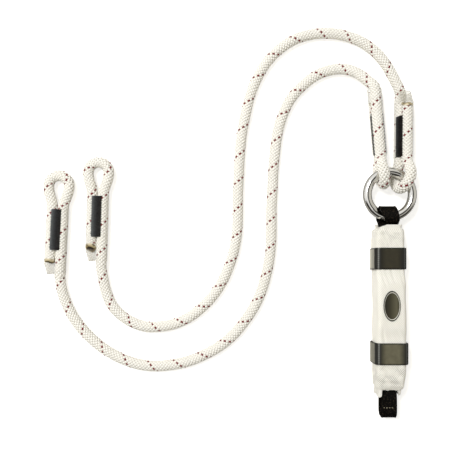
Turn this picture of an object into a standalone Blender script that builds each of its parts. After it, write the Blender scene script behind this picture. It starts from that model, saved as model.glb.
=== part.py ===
"""Twin shock-absorbing lanyard: two rope legs with sewn eyes and a folded-webbing absorber on one steel ring.

The lanyard lies flat, as on a table. +Z is up, +Y runs from the absorber to the ring, and the origin is the
middle of the absorber's flat underside. Lengths are in metres.
"""
import math

import bmesh
import bpy
import numpy as np

# Rope and its sewn eyes.
ROPE_D = 0.0110  # kernmantle rope
STRAND_GAP = 0.0003  # between the two strands of a splice
SEWN_LEN = 0.0430  # stitched block of each eye
SEWN_W = 0.0110  # across the two strands
THREAD_T = 0.0005  # thread over the strands' crowns
THREAD_WEB = 0.0004  # thread between the strands
TAIL_LEN = 0.0098  # tail strand past the stitching
SEAL_LEN = 0.0030  # melted end of the tail
SLEEVE_WALL = 0.0005
SLEEVE_LEAD = 0.0005  # clear sleeve before the stitching
SLEEVE_PAST = 0.0120  # and past the tail's end
FAR_EYE_R = 0.0106  # centre line of a far eye's bight
FAR_EYE_LEN = 0.0240  # bight centre to stitching
RING_EYE_LEN = 0.0190  # ring bar to stitching

# Steel ring.
RING_R = 0.0230  # centre line
RING_WIRE = 0.0090
WELD_RISE = 0.0002
RING_REACH = 0.0112  # cover's end to the ring bar's centre

# Absorber: folded tear webbing in a liner and a fabric cover.
PACK_LEN = 0.1630
PACK_T = 0.0305
PACK_CORNER = 0.0048
COVER_WALL = 0.0013
LINER_WALL = 0.0010
LINER_TOP = 0.0035  # liner past the cover at the ring end
LINER_FOOT = 0.0080  # and at the harness end
TOP_W = 0.0283  # cover width at the ring end
UPPER_W = 0.0288  # nipped in under the upper band
MIDDLE_W = 0.0303
LOWER_W = 0.0305  # nipped in under the lower band
FOOT_W = 0.0270  # at the harness end
UPPER_BAND_IN = 0.0305  # from the cover's end to the band's middle
LOWER_BAND_IN = 0.0366
BAND_LEN = 0.0214
BAND_T = 0.0012
BAND_TRAVEL = 0.0060
LABEL_W = 0.0172
LABEL_H = 0.0305
LABEL_T = 0.0007
LABEL_X, LABEL_Y = -0.0012, 0.0034

TEAR_T = 0.0023  # tear webbing
TEAR_W = 0.0195
TEAR_LAYERS = 7  # odd, so its two ends come out at opposite ends of the pack
TEAR_PITCH = 0.0028
FOLD_INSET = 0.0215  # from the cover's end to the folds
TONGUE_INSET = 0.0030  # and to the tear webbing's own end
SEW_LAP = 0.0075  # of a loop over the tongue

LOOP_T = 0.0022  # black webbing loops
UPPER_LOOP_W = 0.0190
UPPER_LOOP_MOUTH_W = 0.0150  # the front ply is gathered where it enters the pack
UPPER_LOOP_X = -0.0020
LOWER_LOOP_W = 0.0155
LOWER_LOOP_X = -0.0015
LOWER_LOOP_OUT = 0.0306  # loop past the cover's end
LOWER_LOOP_OPEN = 0.0118  # clear height inside the loop
SEAM_T = 0.0005
SEAM_LEG = 0.0007
SEAM_PITCH = 0.0028

# Clearances.
FIT = 0.0003  # between pieces that touch
LEFT_WRAP_PLAY = 0.0006  # rope eye to ring bar
RIGHT_WRAP_PLAY = 0.0009  # more, as this eye sits askew on the curved bar
SLEEVE_FIT = 0.0003

SIDES = 12  # of a rope tube

ROPE_R = ROPE_D / 2
STRANDS = ROPE_D + STRAND_GAP
CROWN = ROPE_R + FIT + THREAD_T
SLEEVE_IN = CROWN + SLEEVE_FIT
SLEEVE_OUT = SLEEVE_IN + SLEEVE_WALL
SLEEVE_HALF = STRANDS / 2 + ROPE_R + SLEEVE_FIT + SLEEVE_WALL  # across both strands
EYE_REACH = SEWN_LEN + TAIL_LEN + SEAL_LEN + 2 * FIT  # stitching's start to where the free rope begins
PACK_MID = PACK_T / 2
HALF = PACK_LEN / 2
RING_Y = HALF + RING_REACH + RING_R
TEAR_HALF = HALF - FOLD_INSET
TONGUE_END = HALF - TONGUE_INSET
UPPER_BAND_Y, LOWER_BAND_Y = HALF - UPPER_BAND_IN, LOWER_BAND_IN - HALF
NIP = BAND_T + FIT  # how far the bands draw the cover in, so that the pack lies flat


def unit(v):
    v = np.asarray(v, float)
    return v / np.linalg.norm(v)


def flat(v, n):
    """v without its part along the unit vector n, made a unit vector."""
    return unit(v - np.dot(v, n) * n)


# Where each eye sits. The right eye is skewed on the bar, so its bight is wider, and the ring's height lets
# that bight clear the table.
LEFT_HUB_AT, RIGHT_HUB_AT = math.radians(112), math.radians(54)
LEFT_AXIS = unit((0.975, 0.222, 0.0))
RIGHT_AXIS = unit((0.924, -0.253, -0.287))


def bar_tangent(at):
    return np.array((math.sin(at), -math.cos(at), 0.0))


def wrap_radius(axis, at, play):
    """Bight radius that leaves some play round a curved bar that passes through it at a slant."""
    lean = abs(np.dot(axis, bar_tangent(at)))
    straight = (RING_WIRE / 2 + ROPE_R + play) / lean
    return straight + straight**2 * (1 - lean**2) / (2 * RING_R * lean)


LEFT_WRAP = wrap_radius(LEFT_AXIS, LEFT_HUB_AT, LEFT_WRAP_PLAY)
RIGHT_WRAP = wrap_radius(RIGHT_AXIS, RIGHT_HUB_AT, RIGHT_WRAP_PLAY)
RING_Z = ROPE_R + RIGHT_WRAP * math.sqrt(1 - RIGHT_AXIS[2] ** 2) + 0.0001
RING_C = np.array((0.0, RING_Y, RING_Z))


def on_bar(at):
    return RING_C + RING_R * np.array((math.cos(at), math.sin(at), 0.0))


# Building blocks.

for old in list(bpy.data.objects):
    bpy.data.objects.remove(old, do_unlink=True)


def material(name, colour, roughness, metallic=0.0, transmission=0.0):
    mat = bpy.data.materials.new(name)
    mat.use_nodes = True
    shader = mat.node_tree.nodes["Principled BSDF"]
    shader.inputs["Base Color"].default_value = (*colour, 1.0)
    shader.inputs["Roughness"].default_value = roughness
    shader.inputs["Metallic"].default_value = metallic
    shader.inputs["Transmission Weight"].default_value = transmission
    mat.diffuse_color = (*colour, 1.0)
    return mat


def add(name, verts, faces, mat, origin=(0, 0, 0), smooth=35):
    """An object from world-space points, with its origin on its joint's axis."""
    mesh = bpy.data.meshes.new(name)
    mesh.from_pydata([tuple(v) for v in np.asarray(verts, float) - np.asarray(origin, float)], [], faces)
    bm = bmesh.new()
    bm.from_mesh(mesh)
    bmesh.ops.recalc_face_normals(bm, faces=bm.faces)
    bm.to_mesh(mesh)
    bm.free()
    mesh.shade_smooth()
    mesh.set_sharp_from_angle(angle=math.radians(smooth))
    mesh.materials.append(mat)
    obj = bpy.data.objects.new(name, mesh)
    obj.location = origin
    bpy.context.collection.objects.link(obj)
    return obj


def loft(rings, closed=False):
    """Points and faces of a skin over equal rings: capped at both ends, or joined end to end."""
    rings = np.asarray(rings, float)
    k, n = rings.shape[:2]
    faces = []
    for i in range(k if closed else k - 1):
        a, b = i * n, (i + 1) % k * n
        faces += [(a + j, a + (j + 1) % n, b + (j + 1) % n, b + j) for j in range(n)]
    if not closed:
        faces += [tuple(range(n))[::-1], tuple((k - 1) * n + j for j in range(n))]
    return rings.reshape(-1, 3), faces


def wall_loft(outer, inner):
    """Points and faces of an open sleeve between an outer and an inner set of rings."""
    return loft(list(outer) + list(inner)[::-1], closed=True)


def cut(obj, cutter):
    """Takes the cutter's shape out of obj."""
    cutter.hide_render = True
    cutter.display_type = "WIRE"
    mod = obj.modifiers.new("cut_" + cutter.name, "BOOLEAN")
    mod.operation = "DIFFERENCE"
    mod.solver = "EXACT"
    mod.object = cutter


def box(name, lo, hi, mat, frame=None):
    """A box between two corners, in world axes or in a frame of (origin, x, y, z)."""
    ends = (lo, hi)
    c = np.array([[ends[i][0], ends[j][1], ends[k][2]] for k in (0, 1) for j in (0, 1) for i in (0, 1)])
    if frame is not None:
        o, x, y, z = frame
        c = o + c[:, :1] * x + c[:, 1:2] * y + c[:, 2:] * z
    faces = [(0, 2, 3, 1), (4, 5, 7, 6), (0, 1, 5, 4), (2, 6, 7, 3), (0, 4, 6, 2), (1, 3, 7, 5)]
    return add(name, c, faces, mat)


def smooth_line(points, step, before=None, after=None):
    """Points every step along one smooth curve (centripetal Catmull-Rom) through the given ones.

    before and after, where given, are points past the ends that the curve leaves and meets in line with.
    """
    p = np.asarray(points, float)
    before = 2 * p[0] - p[1] if before is None else before
    after = 2 * p[-1] - p[-2] if after is None else after
    p = np.vstack([before, p, after])
    fine = []
    for i in range(1, len(p) - 2):
        q = p[i - 1 : i + 3]
        t = np.concatenate([[0], np.cumsum(np.sqrt(np.linalg.norm(np.diff(q, axis=0), axis=1)))])
        s = np.linspace(t[1], t[2], 12, endpoint=False)[:, None]
        a = [((t[j + 1] - s) * q[j] + (s - t[j]) * q[j + 1]) / (t[j + 1] - t[j]) for j in range(3)]
        b = [((t[j + 2] - s) * a[j] + (s - t[j]) * a[j + 1]) / (t[j + 2] - t[j]) for j in range(2)]
        fine.append(((t[2] - s) * b[0] + (s - t[1]) * b[1]) / (t[2] - t[1]))
    fine = np.vstack(fine + [p[-2:-1]])
    run = np.concatenate([[0], np.cumsum(np.linalg.norm(np.diff(fine, axis=0), axis=1))])
    at = np.linspace(0, run[-1], max(2, round(run[-1] / step) + 1))
    return np.column_stack([np.interp(at, run, fine[:, k]) for k in range(3)])


def bridge(a, ta, b, tb, n, reach=0.40):
    """n points inside a cubic from a, leaving along ta, to b, arriving along tb."""
    h = reach * np.linalg.norm(b - a)
    t = np.linspace(0, 1, n + 2)[1:-1, None]
    u = 1 - t
    return u**3 * a + 3 * u**2 * t * (a + h * ta) + 3 * u * t**2 * (b - h * tb) + t**3 * b


def circle(turn, x, y):
    """Points of a unit circle at the angles turn, in the plane of x and y."""
    return np.outer(np.cos(turn), x) + np.outer(np.sin(turn), y)


def tube(line, radius, up, sides=SIDES):
    """Rings of a tube along a line, with a flat facet turned to up."""
    line = np.asarray(line, float)
    tangent = np.gradient(line, axis=0)
    tangent[0], tangent[-1] = line[1] - line[0], line[-1] - line[-2]
    normal, rings = np.asarray(up, float), []
    turn = (np.arange(sides) + 0.5) * 2 * math.pi / sides
    for p, t in zip(line, tangent):
        t = unit(t)
        normal = flat(normal, t)
        rings.append(p + radius * circle(turn, normal, np.cross(t, normal)))
    return rings


sheath = material("sheath_cream", (0.87, 0.84, 0.74), 0.85)
black_thread = material("thread_black", (0.02, 0.022, 0.026), 0.7)
melted = material("melted_end_tan", (0.42, 0.27, 0.14), 0.55)
clear = material("sleeve_clear", (0.95, 0.95, 0.93), 0.15, transmission=0.9)
steel = material("ring_steel", (0.72, 0.71, 0.68), 0.12, 1.0)
canvas = material("cover_canvas", (0.83, 0.80, 0.69), 0.9)
lining = material("liner_white", (0.86, 0.85, 0.80), 0.9)
tear = material("tear_webbing_grey", (0.55, 0.54, 0.50), 0.85)
webbing = material("webbing_black", (0.012, 0.012, 0.014), 0.75)
rubber = material("band_rubber", (0.018, 0.018, 0.016), 0.5)
patch = material("label_olive", (0.05, 0.05, 0.035), 0.6)
pale_thread = material("thread_pale", (0.62, 0.60, 0.52), 0.8)


# Sewn rope eyes.


def eye_line(hub, axis, wrap, start, along, side):
    """Centre line of a sewn eye: up the tail strand, round the bight, back down the standing strand.

    hub is the bight's centre, axis the line it turns about and wrap its radius. start is the middle of the
    two strands where the stitching begins, along their direction, and side points to the tail strand.
    """
    bight = -flat(along, axis)
    across = flat(flat(side, axis), bight)
    tail, standing = start + side * STRANDS / 2, start - side * STRANDS / 2
    arc = np.radians(np.linspace(90, -90, 10))
    loop = hub + wrap * (np.outer(np.cos(arc), bight) + np.outer(np.sin(arc), across))
    straight = np.linspace(1, 0, 4)[:, None]
    return np.vstack([
        tail + straight * along * (SEWN_LEN + TAIL_LEN),
        bridge(tail, -along, loop[0], bight, 4),
        loop,
        bridge(loop[-1], -bight, standing, along, 4),
        standing + straight[::-1] * along * EYE_REACH,
    ])


def sewn_block(start, along, side):
    """Thread that fills both valleys between the strands, joined through a thin web, with a toothed edge."""
    face = np.cross(along, side)
    c, r, w = STRANDS / 2, ROPE_R + FIT, THREAD_WEB / 2
    end = math.asin((c - w) / r)
    stations = np.linspace(0, SEWN_LEN, 23)
    rings = []
    for i, s in enumerate(stations):
        h = SEWN_W / 2 - (0.0008 if i % 2 else 0)
        quarter = [(h, CROWN), (h, r)] + [(c - r * math.sin(a), r * math.cos(a)) for a in (end * 0.55, end)]
        section = quarter + [(u, -v) for u, v in quarter[::-1]]
        section += [(-u, v) for u, v in section[::-1]]
        rings.append([start + along * s + side * u + face * v for u, v in section])
    return loft(rings)


def sleeve(start, along, side):
    """Clear sleeve round both strands, from before the stitching to past the tail's cut end."""
    face = np.cross(along, side)
    turn = np.linspace(0, 2 * math.pi, 20, endpoint=False) + math.pi / 20
    length = SEWN_LEN + TAIL_LEN + SEAL_LEN
    outer, inner = [], []
    for s, draw in ((-SLEEVE_LEAD, 0), (length, 0), (length + SLEEVE_PAST, 0.0030)):
        for radius, rings in ((SLEEVE_OUT, outer), (SLEEVE_IN, inner)):
            far = SLEEVE_HALF - SLEEVE_OUT
            u = np.cos(turn) * radius + np.where(np.cos(turn) > 0, far - draw, -far)
            v = np.sin(turn) * radius
            rings.append(start + along * s + np.outer(u, side) + np.outer(v, face))
    return wall_loft(outer, inner)


def sealed_end(start, along, side):
    """Melted end of the tail: a short collar with the core sunk inside its rim."""
    face = np.cross(along, side)
    turn = np.arange(SIDES) * 2 * math.pi / SIDES + math.pi / SIDES
    at = start + side * STRANDS / 2 + along * (SEWN_LEN + TAIL_LEN + FIT)
    rings = []
    for s, r in ((0, 0.94), (0.35, 1.0), (0.85, 0.99), (1.0, 0.86), (0.62, 0.66)):
        rings.append(at + along * s * SEAL_LEN + r * ROPE_R * circle(turn, side, face))
    return loft(rings)


def lying(hub, heading, side, dip):
    """Start and direction of a ring eye's splice, which leans from the ring's height down to the table."""
    side, heading = unit(side), unit(heading)
    rest = abs(side[2]) * (SLEEVE_HALF - SLEEVE_OUT) + SLEEVE_OUT + 0.0002
    length = SEWN_LEN + TAIL_LEN + SEAL_LEN + SLEEVE_PAST
    start = hub + RING_EYE_LEN * heading - (0, 0, dip)
    fall = (start[2] - rest) / length
    return start, unit(heading - (0, 0, fall))


LEFT_HUB, RIGHT_HUB = on_bar(LEFT_HUB_AT), on_bar(RIGHT_HUB_AT)
FAR_Z = SLEEVE_OUT
LEFT_FAR_HUB = np.array((-0.3406, 0.1252, FAR_Z))
RIGHT_FAR_HUB = np.array((-0.2995, 0.1390, FAR_Z))
LEFT_FAR_AIM, RIGHT_FAR_AIM = unit((-0.0505, -0.9987, 0)), unit((-0.030, -0.9995, 0))

LEFT_TAIL, RIGHT_TAIL, FAR_TAIL = (0.13, 0, -0.991), (0.407, 0, 0.914), (-1, 0, 0)

# name: hub, axis, wrap, start and direction of the splice, and the side that its tail strand is on
EYES = {
    "left_ring": (
        LEFT_HUB, LEFT_AXIS, LEFT_WRAP, *lying(LEFT_HUB, (-0.068, 0.998, 0), LEFT_TAIL, 0.0012), LEFT_TAIL,
    ),
    "right_ring": (
        RIGHT_HUB, RIGHT_AXIS, RIGHT_WRAP, *lying(RIGHT_HUB, (0.028, 0.9996, 0), RIGHT_TAIL, 0.0016), RIGHT_TAIL,
    ),
    "left_far": (
        LEFT_FAR_HUB, (0, 0, 1), FAR_EYE_R, LEFT_FAR_HUB + FAR_EYE_LEN * LEFT_FAR_AIM, LEFT_FAR_AIM, FAR_TAIL,
    ),
    "right_far": (
        RIGHT_FAR_HUB, (0, 0, 1), FAR_EYE_R, RIGHT_FAR_HUB + FAR_EYE_LEN * RIGHT_FAR_AIM, RIGHT_FAR_AIM, FAR_TAIL,
    ),
}

rope_ends = {}
for name, (hub, axis, wrap, start, along, side) in EYES.items():
    axis, side = unit(axis), flat(np.array(side, float), along)
    origin = hub if name.endswith("ring") else (0, 0, 0)
    line = eye_line(hub, axis, wrap, start, along, side)
    rope_ends[name] = (line[-1], along)
    rope_eye = add(name + "_eye", *loft(tube(line, ROPE_R, np.cross(along, side))), sheath, origin)
    add(name + "_stitching", *sewn_block(start, along, side), black_thread, origin, 20)
    add(name + "_sleeve", *sleeve(start, along, side), clear, origin)
    add(name + "_tail_end", *sealed_end(start, along, side), melted, origin)
    half = THREAD_WEB / 2 + FIT
    slot = box(
        name + "_slot", (-half, -FIT, -ROPE_R / 2), (half, SEWN_LEN + FIT, ROPE_R / 2), sheath,
        (start, side, along, np.cross(side, along)),
    )
    cut(rope_eye, slot)

# Free rope of each leg.

# Hand-set route of each leg over the table, in millimetres, between the ends that its eyes give.
LEFT_ROUTE = [
    (-22, 233, 14), (-31, 241, 10.5), (-43, 246, 7.5), (-57, 246, 5.8), (-72, 241, 5.5), (-87, 230, 5.5),
    (-99, 217, 5.5), (-107, 202, 5.5), (-113, 183, 5.5), (-116, 163, 5.5), (-118, 142, 5.5), (-119, 121, 5.5),
    (-120, 100, 5.5), (-120, 79, 5.5), (-121, 59, 5.5), (-124, 39, 5.5), (-129, 20, 5.5), (-136, 3, 5.5),
    (-146, -13, 5.5), (-158, -28, 5.5), (-173, -41, 5.5), (-189, -50, 5.5), (-206, -57, 5.5), (-225, -61, 5.5),
    (-245, -62, 5.5), (-263, -59, 5.5), (-283, -51, 5.5), (-300, -40, 5.5), (-314, -27, 5.5), (-325, -13, 5.5),
    (-333, 2, 5.5), (-338, 17, 5.7), (-340, 32, 6.3),
]
RIGHT_ROUTE = [
    (7, 238, 5.6), (-1, 252, 5.5), (-12, 265, 5.5), (-26, 275, 5.5), (-41, 281, 5.5), (-59, 284, 5.5),
    (-78, 283, 5.5), (-95, 278, 5.5), (-111, 268, 5.5), (-124, 255, 5.5), (-134, 239, 5.5), (-142, 220, 5.5),
    (-147, 199, 5.5), (-151, 178, 5.5), (-153, 157, 5.5), (-154, 136, 5.5), (-155, 116, 5.5), (-155, 95, 5.5),
    (-156, 75, 5.5), (-159, 58, 5.5), (-164, 42, 5.5), (-171, 26, 5.5), (-180, 12, 5.5), (-191, 0, 5.5),
    (-205, -11, 5.5), (-220, -18, 5.5), (-236, -21, 5.5), (-251, -21, 5.5), (-266, -16, 5.5), (-279, -7, 5.5),
    (-287, 3, 5.5), (-292, 15, 5.5), (-295, 28, 5.7), (-297, 41, 6.2),
]


def free_rope(name, route, near, far):
    """Round tube from one eye's standing strand to the other's, as a smooth curve with a flat underside."""
    (a, da), (b, db) = rope_ends[near], rope_ends[far]
    lead = SLEEVE_PAST + 0.0010
    ends = np.vstack([a + da * lead, np.array(route) / 1000, b + db * lead])
    line = smooth_line(ends, 0.0225, a, b)
    line = np.vstack([a + da * FIT, line, b + db * FIT])
    curve = bpy.data.curves.new(name, "CURVE")
    curve.dimensions = "3D"
    curve.twist_mode = "Z_UP"
    curve.bevel_depth = ROPE_R
    curve.bevel_resolution = 4
    curve.use_fill_caps = True
    spline = curve.splines.new("POLY")
    spline.points.add(len(line) - 1)
    for point, p in zip(spline.points, line):
        point.co = (*p, 1.0)
        point.tilt = math.pi / SIDES
    curve.materials.append(sheath)
    obj = bpy.data.objects.new(name, curve)
    bpy.context.collection.objects.link(obj)
    run = np.linalg.norm(np.diff(line, axis=0), axis=1).sum()
    print(f"{name}: {len(line)} points, {run:.4f} m free")


free_rope("left_rope", LEFT_ROUTE, "left_ring", "left_far")
free_rope("right_rope", RIGHT_ROUTE, "right_ring", "right_far")

# Steel ring.

RING_STEPS = 44
rings = []
for i in range(RING_STEPS):
    at = 2 * math.pi * i / RING_STEPS
    out = np.array((math.cos(at), math.sin(at), 0.0))
    weld = min(abs(i - 27), RING_STEPS - abs(i - 27))
    r = RING_WIRE / 2 + (WELD_RISE if weld == 0 else 0)
    turn = (np.arange(SIDES) + 0.5) * 2 * math.pi / SIDES
    rings.append(RING_C + RING_R * out + r * circle(turn, out, (0, 0, 1)))
add("steel_ring", *loft(rings, closed=True), steel, RING_C)

# Absorber pack.

BAR = np.array((0.0, RING_Y - RING_R, RING_Z))  # the absorber hangs on this point of the ring


def pack_ring(y, width, thick, inset, lift=0.0):
    """Rounded rectangle across the pack at y, inset from the cover's outside."""
    r = max(PACK_CORNER - inset, 0.001)
    w, top, bottom = width / 2 - inset - r, thick - inset - r, lift + inset + r
    corner = np.radians(np.linspace(0, 90, 6))
    points = []
    for quarter, (cx, cz) in enumerate(((w, top), (-w, top), (-w, bottom), (w, bottom))):
        a = corner + quarter * math.pi / 2
        points += [(cx + r * math.cos(t), y, cz + r * math.sin(t)) for t in a]
    return np.array(points)


def pack_stations():
    """y, width, top and underside of the cover, even where a band slides."""
    slide, swell = BAND_LEN / 2 + BAND_TRAVEL + 0.0008, 0.0080
    return [
        (HALF, TOP_W, PACK_T - 0.0028, 0.0014),
        (HALF - 0.0035, TOP_W + 0.0004, PACK_T - 0.0014, 0.0008),
        (UPPER_BAND_Y + slide, UPPER_W, PACK_T - NIP, NIP),
        (UPPER_BAND_Y - slide, UPPER_W, PACK_T - NIP, NIP),
        (UPPER_BAND_Y - slide - swell, MIDDLE_W, PACK_T, 0.0),
        (LOWER_BAND_Y + slide + swell, MIDDLE_W, PACK_T, 0.0),
        (LOWER_BAND_Y + slide, LOWER_W, PACK_T - NIP, NIP),
        (LOWER_BAND_Y - slide, LOWER_W, PACK_T - NIP, NIP),
        (-HALF + 0.0100, FOOT_W + 0.0026, PACK_T - 0.0006, 0.0004),
        (-HALF + 0.0035, FOOT_W + 0.0012, PACK_T - 0.0014, 0.0008),
        (-HALF, FOOT_W, PACK_T - 0.0032, 0.0014),
    ]


stations = pack_stations()
cover = add(
    "absorber_cover",
    *wall_loft(
        [pack_ring(*s[:3], 0.0, s[3]) for s in stations],
        [pack_ring(*s[:3], COVER_WALL, s[3]) for s in stations],
    ),
    canvas, BAR,
)

# The liner follows the cover's inside and shows past it at both ends.
liner_inset = COVER_WALL + FIT
first, last = stations[0], stations[-1]
liner_stations = (
    [(first[0] + LINER_TOP, *first[1:])] + stations[:-1] + [last, (last[0] - LINER_FOOT, *last[1:])]
)
liner = add(
    "inner_liner",
    *wall_loft(
        [pack_ring(*s[:3], liner_inset, s[3]) for s in liner_stations],
        [pack_ring(*s[:3], liner_inset + LINER_WALL, s[3]) for s in liner_stations],
    ),
    lining, BAR,
)
# Its foot is slit for the loop, which leaves a flap at each side, and its top is cut back on the left.
cut(liner, box(
    "liner_foot_slit", (LOWER_LOOP_X - LOWER_LOOP_W / 2 - FIT, -HALF - LINER_FOOT - 0.01, -0.01),
    (LOWER_LOOP_X + LOWER_LOOP_W / 2 + FIT, -HALF - 0.0005, PACK_T + 0.01), lining,
))
slant = math.radians(-14)
cut(liner, box(
    "liner_top_cut", (-0.03, 0, PACK_MID), (0.0015, 0.02, PACK_T + 0.01), lining,
    (np.array((0.0, HALF + 0.0004, 0.0)), np.array((math.cos(slant), -math.sin(slant), 0)),
     np.array((math.sin(slant), math.cos(slant), 0)), np.array((0, 0, 1.0))),
))


def ribbon(rows):
    """Strip from rows of (y, z, thickness, width, x): the thickness is laid off across the line."""
    rows = np.asarray(rows, float)
    line = rows[:, :2]
    t = np.gradient(line, axis=0)
    t /= np.linalg.norm(t, axis=1)[:, None]
    n = np.column_stack([-t[:, 1], t[:, 0]])
    rings = []
    for (y, z, thick, width, x), (ny, nz) in zip(rows, n):
        h, w = thick / 2, width / 2
        rings.append([
            (x - w, y - ny * h, z - nz * h), (x + w, y - ny * h, z - nz * h),
            (x + w, y + ny * h, z + nz * h), (x - w, y + ny * h, z + nz * h),
        ])
    return loft(rings)


# Tear webbing, folded to and fro. Its two ends come round the folds to the middle of the pack's ends.
stack = (TEAR_LAYERS - 1) * TEAR_PITCH
low, high = PACK_MID - stack / 2, PACK_MID + stack / 2
fold = TEAR_PITCH / 2
turn = np.radians(np.linspace(-90, 90, 5))
around = fold + TEAR_T + 0.0012
side = TEAR_HALF + around
path = [
    (-TONGUE_END, PACK_MID), (-side - 0.0042, PACK_MID), (-side - 0.0012, PACK_MID - 0.0016),
    (-side, PACK_MID - 0.0060), (-side + 0.0012, low + 0.0018), (-TEAR_HALF - 0.0010, low),
]
rise = path[1:][::-1]
for layer in range(TEAR_LAYERS):
    z, way = low + layer * TEAR_PITCH, 1 if layer % 2 == 0 else -1
    if layer:
        path.append((-way * TEAR_HALF, z))
    if layer < TEAR_LAYERS - 1:
        path += [(way * (TEAR_HALF + fold * math.cos(a)), z + fold + fold * math.sin(a)) for a in turn[:-1]]
path += [(-y, 2 * PACK_MID - z) for y, z in rise] + [(TONGUE_END, PACK_MID)]
tear_webbing = add("tear_webbing", *ribbon([(y, z, TEAR_T, TEAR_W, 0) for y, z in path]), tear, BAR)

# Black loops: each is one strip whose two ends are sewn to both sides of a tongue of the tear webbing.
ply = TEAR_T / 2 + FIT + LOOP_T / 2  # height of a loop's ply over the tongue's middle
ply_in = TONGUE_END - SEW_LAP
loop_edge = abs(UPPER_LOOP_X) + UPPER_LOOP_W / 2
bar_reach = RING_R - math.sqrt((RING_R - RING_WIRE / 2) ** 2 - loop_edge**2)  # at the webbing's far edge
bend_turn = np.radians((78, 52, 26, 0, -26, -52, -78))
open_r = (bar_reach + FIT + LOOP_T / 2) / math.cos(math.radians(13))
top_bend = [(BAR[1] + open_r * math.cos(a), BAR[2] + open_r * math.sin(a)) for a in bend_turn]
upper = [
    (ply_in, PACK_MID + ply, UPPER_LOOP_MOUTH_W, 0.0020),
    (TONGUE_END, PACK_MID + ply, UPPER_LOOP_MOUTH_W, 0.0020),
    (HALF + 0.0035, PACK_MID + ply + 0.0030, UPPER_LOOP_MOUTH_W + 0.0010, 0.0016),
    (BAR[1] - 0.0030, BAR[2] + open_r - 0.0006, UPPER_LOOP_W - 0.0010, -0.0012),
    *((y, z, UPPER_LOOP_W, UPPER_LOOP_X) for y, z in top_bend),
    (BAR[1] - 0.0030, BAR[2] - open_r + 0.0006, UPPER_LOOP_W, UPPER_LOOP_X),
    (HALF + 0.0030, PACK_MID - ply - 0.0012, UPPER_LOOP_W, UPPER_LOOP_X + 0.0010),
    (TONGUE_END, PACK_MID - ply, UPPER_LOOP_W, UPPER_LOOP_X + 0.0014),
    (ply_in, PACK_MID - ply, UPPER_LOOP_W, UPPER_LOOP_X + 0.0014),
]
upper_strip = ribbon([(y, z, LOOP_T, w, x) for y, z, w, x in upper])
upper_loop = add("upper_webbing_loop", *upper_strip, webbing, BAR, 50)

out = -HALF - LOWER_LOOP_OUT + LOOP_T / 2
swell = LOWER_LOOP_OPEN / 2 + LOOP_T / 2
SEAM_Y = -HALF - 0.0189
half_loop = [
    (-ply_in, ply), (-TONGUE_END, ply), (-HALF - 0.0055, swell * 0.86), (SEAM_Y + 0.0045, swell),
    (SEAM_Y - 0.0045, swell), (out + 0.0035, swell * 0.93), (out + 0.0008, swell * 0.68), (out, swell * 0.42),
]
lower = [(y, PACK_MID + z) for y, z in half_loop] + [(y, PACK_MID - z) for y, z in half_loop[::-1]]
lower_strip = ribbon([(y, z, LOOP_T, LOWER_LOOP_W, LOWER_LOOP_X) for y, z in lower])
lower_loop = add("lower_webbing_loop", *lower_strip, webbing, BAR, 50)


def seam(name, y, x, low, high, count, mat, through):
    """A row of stitches: thread over and under the webbing, joined by legs through holes in it."""
    xs = x + (np.arange(count) - (count - 1) / 2) * SEAM_PITCH
    w, pad = SEAM_LEG / 2, SEAM_LEG * 1.6
    outline = [(xs[0] - pad, low), (xs[0] - pad, low - SEAM_T)]
    outline += [(xs[-1] + pad, low - SEAM_T), (xs[-1] + pad, low)]
    for u in xs[::-1]:
        outline += [(u + w, low), (u + w, high), (u + pad, high), (u + pad, high + SEAM_T),
                    (u - pad, high + SEAM_T), (u - pad, high), (u - w, high), (u - w, low)]
    add(name, *loft([[(u, y + s * SEAM_LEG / 2, v) for u, v in outline] for s in (-1, 1)]), mat, BAR, 20)
    g = w + FIT
    for i, u in enumerate(xs):
        hole = box(f"{name}_hole_{i}", (u - g, y - g, low - 0.0002), (u + g, y + g, high + 0.0002), mat)
        for piece in through:
            cut(piece, hole)


tack = ply + LOOP_T / 2 + FIT
tack_y = (ply_in + TONGUE_END) / 2
low, high = PACK_MID - tack, PACK_MID + tack
seam("upper_loop_tack", tack_y, 0.0010, low, high, 4, black_thread, (upper_loop, tear_webbing))
seam("lower_loop_tack", -tack_y, LOWER_LOOP_X, low, high, 4, black_thread, (lower_loop, tear_webbing))
low, high = PACK_MID + swell - LOOP_T / 2 - FIT, PACK_MID + swell + LOOP_T / 2 + FIT
seam("lower_loop_seam", SEAM_Y, LOWER_LOOP_X, low, high, 4, pale_thread, (lower_loop,))


def band(name, y, width):
    """Rubber band round the cover, free to slide along it."""
    ends = (y - BAND_LEN / 2, y + BAND_LEN / 2)
    lip = [(ends[0], 0.0004), (ends[0] + 0.0006, 0), (ends[1] - 0.0006, 0), (ends[1], 0.0004)]
    outer = [pack_ring(e, width, PACK_T - NIP, g - NIP, NIP) for e, g in lip]
    inner = [pack_ring(e, width, PACK_T - NIP, -FIT, NIP) for e, g in lip]
    return add(name, *wall_loft(outer, inner), rubber, (0, y, PACK_MID))


band("upper_band", UPPER_BAND_Y, UPPER_W)
band("lower_band", LOWER_BAND_Y, LOWER_W)

# Blank oval patch on the cover's front, with a raised rim.
turn = np.linspace(0, 2 * math.pi, 28, endpoint=False)
oval = []
for grow, rise in ((1.0, 0.0), (1.0, LABEL_T), (0.90, LABEL_T), (0.87, LABEL_T * 0.6)):
    x, y = LABEL_X + grow * LABEL_W / 2 * np.cos(turn), LABEL_Y + grow * LABEL_H / 2 * np.sin(turn)
    oval.append(np.column_stack([x, y, np.full(len(turn), PACK_T + FIT + rise)]))
add("label_patch", *loft(oval), patch, BAR)
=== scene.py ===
"""Looks of a twin shock-absorbing lanyard that lies flat: rope legs, sewn eyes, steel ring and absorber pack."""

import math

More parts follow.
